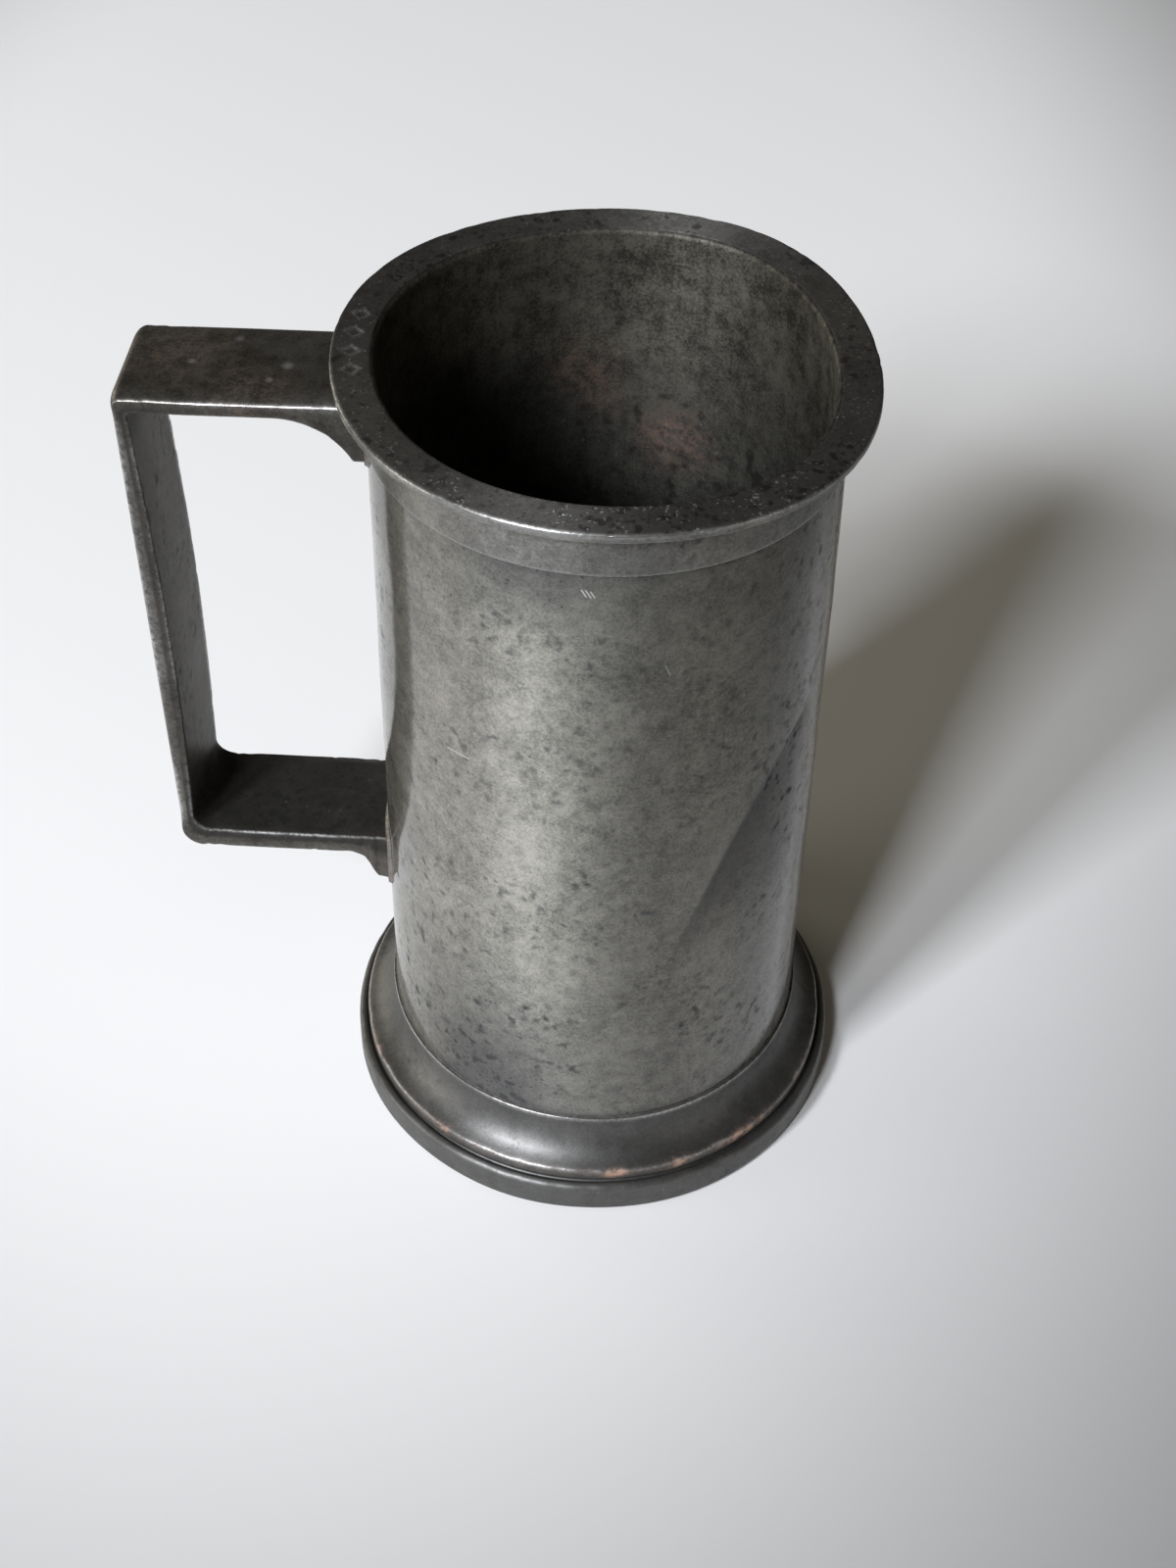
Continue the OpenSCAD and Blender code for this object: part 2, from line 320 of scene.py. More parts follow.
def grid_faces(rows: int, cols: int, wrap_rows: bool, wrap_cols: bool) -> Array:
    """Quads between neighbouring points of a grid that is numbered row by row.

    Args:
        rows: Number of rows.
        cols: Number of points in a row.
        wrap_rows: Whether the last row joins the first.
        wrap_cols: Whether the last point of a row joins its first.

    Returns:
        Numbers of the four points of each quad.
    """
    i = np.arange(rows if wrap_rows else rows - 1)[:, None]
    j = np.arange(cols if wrap_cols else cols - 1)[None, :]
    down, across = (i + 1) % rows, (j + 1) % cols
    corners = [i * cols + j, down * cols + j, down * cols + across, i * cols + across]
    return np.stack(corners, axis=-1).reshape(-1, 4)


@dataclass
class Shell:
    """Closed surface: its points in millimetres, its faces, and the masks that its finish reads."""

    points: Array
    quads: Array
    triangles: Array = field(default_factory=lambda: np.zeros((0, 3), int))
    masks: Masks = field(default_factory=dict)

    def volume(self) -> float:
        """Volume within the faces, a sixth of the sum of a . (b x c), negative if they point inwards.

        Returns:
            Volume in cubic millimetres.
        """
        halves = np.vstack([self.triangles, self.quads[:, :3], self.quads[:, [0, 2, 3]]])
        a, b, c = (self.points[halves[:, k]] for k in range(3))
        return float(np.einsum("ij,ij->i", a, np.cross(b, c)).sum() / 6.0)

    def mesh(self, name: str) -> bpy.types.Mesh:
        """Put the shell into a mesh, in metres, with outward faces and one attribute for each mask.

        Args:
            name: Name of the mesh.

        Returns:
            The new mesh.
        """
        if self.volume() < 0.0:
            self.quads, self.triangles = self.quads[:, ::-1], self.triangles[:, ::-1]
        made = bpy.data.meshes.new(name)
        made.from_pydata((self.points * MM).tolist(), [], self.quads.tolist() + self.triangles.tolist())
        for mask, share in self.masks.items():
            layer = made.attributes.new(mask.value, "FLOAT", "POINT")
            layer.data.foreach_set("value", np.clip(share, 0.0, 1.0).astype(np.float32).ravel())
        made.shade_smooth()
        return made


def add_piece(shell: Shell, name: str, nodes: Sequence[str]) -> bpy.types.Object:
    """Put a shell into the scene as a piece that stands for CAD nodes and rides on their body.

    Args:
        shell: Surface of the piece.
        name: Name of the piece.
        nodes: CAD nodes that it stands for.

    Returns:
        The new object.
    """
    piece = bpy.data.objects.new(name, shell.mesh(name))
    bpy.context.scene.collection.objects.link(piece)
    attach(piece, BODY)
    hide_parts(*nodes)
    log.info("%s stands for %s: %d points", name, ", ".join(nodes), len(shell.points))
    return piece


class Sock:
    """Output of a shader node; arithmetic on it adds Math nodes."""

    def __init__(self, graph: "Graph", out: bpy.types.NodeSocket) -> None:
        """Hold an output socket and the graph that it belongs to."""
        self.graph = graph
        self.out = out

    def __add__(self, other: "Value") -> "Sock":
        """Sum."""
        return self.graph.math("ADD", self, other)

    def __radd__(self, other: "Value") -> "Sock":
        """Sum with the value at the left."""
        return self.graph.math("ADD", other, self)

    def __sub__(self, other: "Value") -> "Sock":
        """Difference."""
        return self.graph.math("SUBTRACT", self, other)

    def __rsub__(self, other: "Value") -> "Sock":
        """Difference with the value at the left."""
        return self.graph.math("SUBTRACT", other, self)

    def __mul__(self, other: "Value") -> "Sock":
        """Product."""
        return self.graph.math("MULTIPLY", self, other)

    def __rmul__(self, other: "Value") -> "Sock":
        """Product with the value at the left."""
        return self.graph.math("MULTIPLY", other, self)

    def __truediv__(self, other: "Value") -> "Sock":
        """Quotient."""
        return self.graph.math("DIVIDE", self, other)

    def __rtruediv__(self, other: "Value") -> "Sock":
        """Quotient with the value at the left."""
        return self.graph.math("DIVIDE", other, self)

    def __abs__(self) -> "Sock":
        """Absolute value."""
        return self.graph.math("ABSOLUTE", self, 0.0)

    def within(self) -> "Sock":
        """The value kept from 0 to 1."""
        return self.graph.node("ShaderNodeClamp", {"Value": self})

    def eased(self, low: "Value", high: "Value") -> "Sock":
        """Smooth rise from 0 at low to 1 at high, or a fall where high is the lower one."""
        inputs = {"Value": self, "From Min": low, "From Max": high}
        return self.graph.node("ShaderNodeMapRange", inputs, interpolation_type="SMOOTHSTEP")


Value = Union[Sock, float, tuple]


class Graph:
    """Node tree of one material, built from expressions."""

    def __init__(self, name: str) -> None:
        """Start a material with an empty node tree.

        Args:
            name: Name of the material.
        """
        self.material = bpy.data.materials.new(name)
        self.material.use_nodes = True
        self.tree = self.material.node_tree
        self.tree.nodes.clear()
        self.place = self.vector("SCALE", self.node("ShaderNodeTexCoord", {}, "Object"), scale=1.0 / MM)

    def node(self, kind: str, inputs: dict, output: Union[int, str] = 0, **settings: object) -> Sock:
        """Add a node.

        Args:
            kind: Type of the node.
            inputs: Values or links of its sockets, by name or place.
            output: Name or place of the output that is handed back.
            **settings: Properties of the node, set before its sockets.

        Returns:
            The chosen output.
        """
        made = self.tree.nodes.new(kind)
        for key, value in settings.items():
            setattr(made, key, value)
        for key, value in inputs.items():
            if isinstance(value, Sock):
                self.tree.links.new(value.out, made.inputs[key])
            else:
                made.inputs[key].default_value = value
        return Sock(self, made.outputs[output])

    def math(self, operation: str, a: Value, b: Value) -> Sock:
        """Arithmetic on two values."""
        return self.node("ShaderNodeMath", {0: a, 1: b}, operation=operation)

    def vector(self, operation: str, a: Value, b: Value = (0.0, 0.0, 0.0), scale: float = 1.0) -> Sock:
        """Arithmetic on vectors; the length, distance and dot product come back as values."""
        output = 1 if operation in ("LENGTH", "DISTANCE", "DOT_PRODUCT") else 0
        return self.node("ShaderNodeVectorMath", {0: a, 1: b, 3: scale}, output, operation=operation)

    def blend(self, share: Value, a: Value, b: Value) -> Sock:
        """Colour between a and b."""
        a, b = (c if isinstance(c, Sock) else (*c, 1.0) for c in (a, b))
        return self.node("ShaderNodeMix", {0: share, 6: a, 7: b}, 2, data_type="RGBA")

    def layer(self, layer: Layer) -> Sock:
        """Place shifted for one of a finish's noises."""
        return self.vector("ADD", self.place, layer.value)

    def noise(
        self, size: float, detail: float = 2.0, where: Optional[Sock] = None, roughness: float = 0.55
    ) -> Sock:
        """Cloudy noise from 0 to 1.

        Args:
            size: About how far its features are across, in millimetres.
            detail: How many finer layers it has.
            where: Place that it is read at, or None for the plain one.
            roughness: How strong the finer layers are.

        Returns:
            The noise as a value.
        """
        where = where or self.place
        inputs = {"Vector": where, "Scale": 1.0 / size, "Detail": detail, "Roughness": roughness}
        return self.node("ShaderNodeTexNoise", inputs)

    def specks(self, cell: float, largest: float, stretch: float = 1.0) -> Sock:
        """Spots of random size, at most one in each cell: 1 in a spot and 0 outside.

        Args:
            cell: Size of the cells, in millimetres.
            largest: Radius of the largest spots.
            stretch: How many times wider than tall the spots are.

        Returns:
            The share as a value.
        """
        where = self.vector("MULTIPLY", self.place, (1.0, 1.0, stretch))
        away = self.node("ShaderNodeTexVoronoi", {"Vector": where, "Scale": 1.0 / cell, "Randomness": 1.0})
        chance = Sock(self, away.out.node.outputs["Color"])
        size = self.node("ShaderNodeSeparateColor", {0: chance}) * (largest / cell)
        return away.eased(size, 0.0)

    def lathe_lines(self, size: float, streak: float) -> Sock:
        """Noise drawn out round the axis, as a turning tool leaves it: fine along the section, long round.

        Args:
            size: Distance between the lines, in millimetres.
            streak: How quickly a line changes round the axis.

        Returns:
            The noise as a value.
        """
        flat = self.vector("MULTIPLY", self.place, (1.0, 1.0, 0.0))
        away = self.vector("LENGTH", flat)
        around = self.vector("SCALE", self.vector("NORMALIZE", flat), scale=streak)
        height = self.node("ShaderNodeSeparateXYZ", {0: self.place}, 2)
        where = self.vector("ADD", around, self.node("ShaderNodeCombineXYZ", {2: away / size}))
        inputs = {"Vector": where, "W": height / size, "Scale": 1.0, "Detail": 2.0}
        return self.node("ShaderNodeTexNoise", inputs, noise_dimensions="4D")

    def mask(self, mask: Mask) -> Sock:
        """Share that the mesh carries under a mask's name."""
        return self.node("ShaderNodeAttribute", {}, "Fac", attribute_name=mask.value)

    def surface(self, inputs: dict) -> None:
        """End the tree in one shader.

        Args:
            inputs: Values or links of the shader's sockets, by name.
        """
        shader = self.node("ShaderNodeBsdfPrincipled", inputs)
        end = self.tree.nodes.new("ShaderNodeOutputMaterial")
        self.tree.links.new(shader.out, end.inputs["Surface"])


@dataclass(frozen=True)
class Mark:
    """A scratch or blemish on a wall round the axis."""

    angle: float
    height: float
    length: float
    width: float
    tilt: float
    pale: bool
    clear: float = 2.0
    fade: float = 1.0
    core: float = 0.3

    def share(self, graph: Graph, radius: float) -> Sock:
        """Share of the mark at a place: 1 within its length and width, measured along the wall.

        Args:
            graph: Graph to add the nodes to.
            radius: Distance of the wall from the axis.

        Returns:
            The share as a value.
        """
        a, t = np.radians(self.angle), np.radians(self.tilt)
        centre = on_axis_circle(self.angle, radius, self.height)
        around = np.array([-np.sin(a), np.cos(a), 0.0])
        up = np.array([0.0, 0.0, 1.0])
        along = tuple(around * np.cos(t) + up * np.sin(t))
        across = tuple(up * np.cos(t) - around * np.sin(t))
        away = graph.vector("SUBTRACT", graph.place, centre)
        u = abs(graph.vector("DOT_PRODUCT", away, along))
        v = abs(graph.vector("DOT_PRODUCT", away, across))
        reach, half = self.length + self.clear, self.length / 2.0
        near = graph.vector("LENGTH", away).eased(reach + self.fade, reach)
        ends = u.eased(half, half - 2.0 * self.width)
        return near * ends * v.eased(self.width, self.width * self.core)


@dataclass(frozen=True)
class Stain:
    """A soft round patch about a point; a negative strength keeps something away from there."""

    point: Point
    size: float
    strength: float

    def share(self, graph: Graph) -> Sock:
        """Share of the patch at a place, falling off softly from its middle."""
        return graph.vector("DISTANCE", graph.place, self.point).eased(self.size, 0.0) * self.strength


@dataclass(frozen=True)
class Spots:
    """One kind of speck: cell and largest radius as shares of the finish's speck size, stretch and range."""

    cell: float
    largest: float
    stretch: float
    within: Span

    def share(self, graph: Graph, size: float, noise: Sock) -> Sock:
        """Share of the specks at a place: they come where a noise is within their range."""
        return graph.specks(size * self.cell, size * self.largest, self.stretch) * noise.eased(*self.within)


@dataclass(frozen=True)
class Patches:
    """Uneven strength of a layer: the least, how much more in its patches, their size, detail and range."""

    least: float
    more: float
    size: float
    detail: float
    within: Span

    def share(self, graph: Graph) -> Sock:
        """Strength at a place: the least plus more times an eased noise."""
        noise = graph.noise(self.size, self.detail, roughness=CRISP)
        return self.least + self.more * noise.eased(*self.within)


@dataclass(frozen=True)
class Weights:
    """How much each layer of a finish counts in its shade, darkness, relief, roughness, metal and coat."""

    lathe_shade: float = 0.06
    speck_dark: float = 0.75
    fine_dark: float = 0.85
    # Weight of the dark mask, which carries soiling and painted shade
    grime_and_shade_dark: float = 0.8
    grain_relief: float = 0.6
    fine_relief: float = 0.5
    blot_relief: float = 0.4
    cloud_rough: float = 0.15
    dark_rough: float = 0.25
    wear_and_highlight_rough: float = 0.14
    stain_rough: float = 0.1
    dark_metal: float = 0.2
    stain_metal: float = 0.3
    dark_coat: float = 0.9
    mark: float = 0.8


SPECKS = Spots(cell=1.6, largest=1.0, stretch=0.9, within=(0.38, 0.58))
FINE_SPECKS = Spots(cell=0.7, largest=0.4, stretch=1.2, within=(0.66, 0.36))
FLECKS = Spots(cell=1.1, largest=0.32, stretch=0.6, within=(0.42, 0.55))
# Patches of the bright mask, which carries wear and painted highlights
WEAR_AND_HIGHLIGHT_PATCHES = Patches(least=0.4, more=1.2, size=0.9, detail=3.0, within=(0.36, 0.64))
STAIN_PATCHES = Patches(least=0.2, more=1.5, size=2.2, detail=4.0, within=(0.38, 0.66))


@dataclass(frozen=True)
class Pewter:
    """Old pewter: a cloudy, grained grey skin, dark oxide in blots and specks, pale bare metal where rubbing
    has bared it, and painted shade and highlights where the meshes carry them.
    """

    name: str
    pale: Colour
    deep: Colour
    oxide: Colour = (0.045, 0.045, 0.047)
    # Colour of bared metal, also used for the painted highlights and reflections on edges
    rubbed_and_highlit: Colour = (0.46, 0.455, 0.445)
    copper: Colour = (0.48, 0.31, 0.23)
    rough: float = 0.42
    metallic: float = 0.9
    patch: float = 14.0
    clouds: float = 1.1
    region: float = 1.8
    mottle: float = 3.6
    mottles: float = 1.3
    grain: float = 0.55
    grains: float = 2.4
    blot: float = 2.6
    blots: float = 0.5
    blot_range: Span = (0.55, 0.75)
    blot_region: Span = (0.40, 0.58)
    speck: float = 1.6
    specks: float = 0.7
    flecks: float = 0.1
    drip: float = 2.4
    drip_stretch: Point = (1.0, 1.0, 0.12)
    drips: float = 0.0
    scuff: float = 0.8
    scuff_rough: float = 0.65
    scuff_range: Span = (0.57, 0.66)
    gathering: float = 4.0
    gathering_range: Span = (0.44, 0.62)
    lathe_line: float = 0.35
    lathe_streak: float = 4.0
    lathe: float = 0.006
    pits: float = 0.02
    anisotropy: float = 0.6
    anisotropy_turn: float = 0.25
    coat: float = 0.0
    coat_rough: float = 0.12
    coat_ior: float = 1.5
    marks: tuple[Mark, ...] = ()
    stains: tuple[Stain, ...] = ()
    clusters: tuple[Stain, ...] = ()
    bare: tuple[Stain, ...] = ()
    rubs: tuple[Stain, ...] = ()
    radius: float = 0.0
    weights: Weights = Weights()

    def wear(self, g: Graph, cloud: Sock) -> Sock:
        """Share of bare metal and painted highlight: the mesh's worn and highlit lines in patches, pale
        flecks, scuffs and places of rubbing.

        Args:
            g: Graph to add the nodes to.
            cloud: Noise of the skin's clouds.

        Returns:
            The share as a value from 0 to 1.
        """
        fleck = FLECKS.share(g, self.speck, cloud)
        # Share of the bright mask in patches: worn metal and painted highlights
        worn = g.mask(Mask.WEAR_AND_HIGHLIGHT) * WEAR_AND_HIGHLIGHT_PATCHES.share(g)
        scuff = g.noise(self.scuff, 3.0, g.layer(Layer.SCUFF), self.scuff_rough).eased(*self.scuff_range)
        scuff = scuff * g.noise(self.gathering, 2.0, g.layer(Layer.GATHERING)).eased(*self.gathering_range)
        worn = worn + fleck * self.flecks + scuff * g.mask(Mask.SCUFF)
        return sum((s.share(g) for s in self.rubs), worn).within()

    def material(self) -> bpy.types.Material:
        """Build the finish: a skin between two greys, then dark shares (oxide, soiling and painted shade),
        stained shares and bared shares (with painted highlights) laid over it.

        Returns:
            A material whose colour, roughness, metal share and normal vary over the surface.
        """
        g, w = Graph(self.name), self.weights
        cloud = sum((s.share(g) for s in self.bare), g.noise(self.patch, 3.0))
        region = g.noise(self.patch * self.region, 2.0, g.layer(Layer.REGION))
        region = sum((s.share(g) for s in self.clusters), region)
        mottle = g.noise(self.mottle, 3.0, g.layer(Layer.MOTTLE), CRISP)
        grain = g.noise(self.grain, 3.0, roughness=CRISP)
        blot = g.noise(self.blot, 1.5, g.layer(Layer.BLOT)).eased(*self.blot_range)
        blot = blot * region.eased(*self.blot_region)
        speck = SPECKS.share(g, self.speck, region)
        fine = FINE_SPECKS.share(g, self.speck, cloud)
        drip = g.noise(self.drip, 2.0, g.vector("MULTIPLY", g.place, self.drip_stretch))
        lathe = g.lathe_lines(self.lathe_line, self.lathe_streak)
        wear = self.wear(g, cloud)

        shade = MIDDLE + (cloud - MIDDLE) * self.clouds + (mottle - MIDDLE) * self.mottles
        shade = shade + (grain - MIDDLE) * self.grains + (lathe - MIDDLE) * w.lathe_shade
        shade = shade + (drip - MIDDLE) * self.drips
        skin = g.blend(shade.within(), self.deep, self.pale)
        spots = (speck * w.speck_dark + fine * w.fine_dark) * self.specks
        dark = (blot * self.blots + spots + g.mask(Mask.GRIME_AND_SHADE) * w.grime_and_shade_dark).within()
        colour = g.blend(dark, skin, self.oxide)
        stain = sum((s.share(g) for s in self.stains), g.mask(Mask.COPPER))
        stain = (stain * STAIN_PATCHES.share(g)).within()
        colour = g.blend(stain, colour, self.copper)
        colour = g.blend(wear, colour, self.rubbed_and_highlit)
        height = grain * w.grain_relief - speck - fine * w.fine_relief - blot * w.blot_relief
        rough = self.rough + (cloud - MIDDLE) * w.cloud_rough + dark * w.dark_rough
        rough = rough - wear * w.wear_and_highlight_rough + stain * w.stain_rough
        for mark in self.marks:
            share = mark.share(g, self.radius)
            colour = g.blend(share * w.mark, colour, self.rubbed_and_highlit if mark.pale else self.oxide)
            height = height - share
        lines = g.node("ShaderNodeBump", {"Distance": self.lathe * MM, "Height": lathe})
        relief = {"Distance": self.pits * MM, "Height": height, "Normal": lines}
        g.surface({
            "Base Color": colour,
            "Roughness": rough.within(),
            "Metallic": (self.metallic - dark * w.dark_metal - stain * w.stain_metal).within(),
            "Normal": g.node("ShaderNodeBump", relief),
            "Anisotropic": self.anisotropy,
            "Anisotropic Rotation": self.anisotropy_turn,
            "Coat Weight": (self.coat * (1.0 - dark * w.dark_coat)).within(),
            "Coat Roughness": self.coat_rough,
            "Coat IOR": self.coat_ior,
        })
        return g.material


@dataclass(frozen=True)
class Vessel:
    """Sizes that the turned pieces share, the way the mouth has lost its round, and the painted shade in the
    bore.
    """

    height: float = 190.0
    bore_r: float = 43.0
    wall: float = 2.3
    floor_h: float = 18.0
    floor_t: float = 3.0
    solder_t: float = 0.3
    rim_h: float = 13.8
    lap_h: float = 7.0
    tongue_t: float = 1.1
    fade: float = 12.0
    knocks: tuple[Sector, ...] = (
        Sector(13.0, 27.0, -1.5),
        Sector(60.0, 20.0, 0.7),
        Sector(103.0, 26.0, -1.1),
        Sector(157.0, 26.0, 1.2),
        Sector(266.0, 36.0, -0.6),
        Sector(320.0, 26.0, 1.4),
    )
    # Painted shade in the bore: deeper with depth, and lifted on the side that the window's light reaches
    bore_shade_span: Span = (176.0, 144.0)
    bore_shade_share: float = 0.84
    lit_side: Sector = Sector(68.0, 75.0, -0.8, base=0.8)

    @property
    def drum_r(self) -> float:
        """Outer radius of the drum."""
        return self.bore_r + self.wall

    @property
    def rim_z(self) -> float:
        """Height of the collar's lower edge."""
        return self.height - self.rim_h

    @property
    def tongue_z(self) -> float:
        """Height of the upper end of the drum's tongue."""
        return self.rim_z + self.lap_h

    @property
    def tongue_r(self) -> float:
        """Outer radius of the tongue."""
        return self.bore_r + self.tongue_t

    @property
    def under_z(self) -> float:
        """Height of the underside of the floor."""
        return self.floor_h - self.floor_t

    def bend(self, angle: Array, z: Array) -> Array:
        """How far a wall stands out of round: the sum of the knocks, fading out below the mouth."""
        return sum(k.at(angle) for k in self.knocks) * np.exp((z - self.height) / self.fade)

    def bore_shade(self, angle: Array, z: Array) -> Array:
        """Share of painted shade in the bore: more with depth, and more away from the side that the light
        reaches.
        """
        return self.bore_shade_share * eased(z, *self.bore_shade_span) + self.lit_side.at(angle)


VESSEL = Vessel()
DRUM_R = VESSEL.drum_r
BORE_R = VESSEL.bore_r

DRUM_MARKS = (
    Mark(angle=-122.0, height=122.7, length=6.2, width=0.3, tilt=2.0, pale=True),
    Mark(angle=-69.7, height=152.6, length=3.4, width=0.22, tilt=-70.0, pale=True),
    Mark(angle=-89.6, height=171.7, length=2.4, width=0.25, tilt=-60.0, pale=True),
    Mark(angle=-88.6, height=171.6, length=2.6, width=0.25, tilt=-60.0, pale=True),
    Mark(angle=-87.6, height=171.5, length=2.2, width=0.25, tilt=-60.0, pale=True),
    Mark(angle=-125.6, height=106.5, length=1.2, width=0.5, tilt=0.0, pale=True),
    Mark(angle=-125.9, height=99.6, length=1.0, width=0.4, tilt=0.0, pale=True),
    Mark(angle=-72.0, height=87.1, length=4.2, width=0.9, tilt=-12.0, pale=False),
    Mark(angle=-93.1, height=83.4, length=2.6, width=0.5, tilt=-30.0, pale=False),
    Mark(angle=-60.1, height=151.5, length=1.4, width=0.6, tilt=20.0, pale=False),
)
DRUM_CLUSTERS = (
    Stain(on_axis_circle(-111.9, DRUM_R, 159.1), size=11.0, strength=0.11),
    Stain(on_axis_circle(-100.9, DRUM_R, 158.7), size=9.0, strength=0.09),
    Stain(on_axis_circle(-83.7, DRUM_R, 152.3), size=13.0, strength=0.15),
    Stain(on_axis_circle(-64.8, DRUM_R, 142.9), size=18.0, strength=0.16),
    Stain(on_axis_circle(-54.6, DRUM_R, 127.1), size=18.0, strength=0.18),
    Stain(on_axis_circle(-109.4, DRUM_R, 110.4), size=11.0, strength=0.14),
    Stain(on_axis_circle(-91.3, DRUM_R, 39.7), size=12.0, strength=0.03),
    Stain(on_axis_circle(-61.7, DRUM_R, 43.1), size=11.0, strength=0.03),
    Stain(on_axis_circle(-97.0, DRUM_R, 169.0), size=13.0, strength=-0.22),
    Stain(on_axis_circle(-103.0, DRUM_R, 31.0), size=15.0, strength=-0.2),
)
DRUM_BARE = (
    Stain(on_axis_circle(-102.0, DRUM_R, 142.6), size=16.0, strength=0.1),
    Stain(on_axis_circle(-104.7, DRUM_R, 102.2), size=18.0, strength=0.12),
    Stain(on_axis_circle(-84.0, DRUM_R, 67.6), size=18.0, strength=0.1),
)
BORE_STAINS = (
    Stain(on_axis_circle(102.0, BORE_R, 158.0), size=12.0, strength=0.4),
    Stain(on_axis_circle(76.0, BORE_R, 141.0), size=12.0, strength=0.6),
    Stain(on_axis_circle(96.0, BORE_R, 149.0), size=9.0, strength=0.25),
    Stain(on_axis_circle(70.0, BORE_R, 112.0), size=14.0, strength=0.3),
)
HANDLE_STAINS = (
    Stain((-82.0, 3.0, 182.0), size=17.0, strength=0.22),
    Stain((-66.0, -8.0, 182.5), size=12.0, strength=0.25),
)
HANDLE_RUBS = (
    Stain((-60.3, -0.5, 182.9), size=1.7, strength=0.7),
    Stain((-71.1, 7.6, 182.3), size=1.4, strength=0.5),
    Stain((-78.7, 0.0, 181.9), size=1.3, strength=0.5),
    Stain((-62.9, -5.1, 182.7), size=1.2, strength=0.5),
)

OUTSIDE = Pewter(
    "drum_skin", pale=(0.325, 0.315, 0.276), deep=(0.13, 0.126, 0.11), rough=0.6, metallic=0.95, mottles=1.7,
    grains=2.0, blots=0.55, specks=0.64, lathe=0.004, anisotropy=0.78, coat=1.0, marks=DRUM_MARKS,
    clusters=DRUM_CLUSTERS, bare=DRUM_BARE, radius=DRUM_R,
)
BORE = Pewter(
    "bore_skin", pale=(0.175, 0.166, 0.136), deep=(0.046, 0.043, 0.036), oxide=(0.012, 0.0115, 0.01),
    copper=(0.11, 0.07, 0.052), rough=0.54, patch=16.0, clouds=1.4, mottles=2.1, blot=4.0, blots=0.4,
    specks=0.28, drips=0.8, stains=BORE_STAINS,
)
RIM = Pewter(
    "rim_skin", pale=(0.33, 0.322, 0.3), deep=(0.165, 0.161, 0.15), oxide=(0.032, 0.029, 0.026), rough=0.36,
    mottles=1.8, blots=0.5, speck=1.1, specks=0.35, flecks=0.6, anisotropy=0.8,
)
FOOT = Pewter(
    "foot_skin", pale=(0.15, 0.148, 0.143), deep=(0.08, 0.079, 0.076), rough=0.46, metallic=0.88, patch=20.0,
    mottles=1.2, grains=1.4, blots=0.4, specks=0.35, coat=0.06, coat_rough=0.22,
)
PLATE = Pewter("floor_skin", pale=(0.20, 0.195, 0.17), deep=(0.08, 0.08, 0.07), rough=0.5, blots=0.8)
HANDLE = Pewter(
    "handle_skin", pale=(0.125, 0.115, 0.1), deep=(0.05, 0.045, 0.039), oxide=(0.02, 0.019, 0.018),
    copper=(0.22, 0.155, 0.11), rough=0.4, metallic=0.82, patch=10.0, clouds=1.4, mottles=1.9, grains=2.0,
    speck=2.2, specks=0.45, lathe=0.0, anisotropy=0.0, stains=HANDLE_STAINS, rubs=HANDLE_RUBS,
)
SOLDER = Pewter(
    "solder_skin", pale=(0.26, 0.25, 0.235), deep=(0.13, 0.12, 0.107), rough=0.5, patch=4.0, lathe=0.0,
    anisotropy=0.0,
)


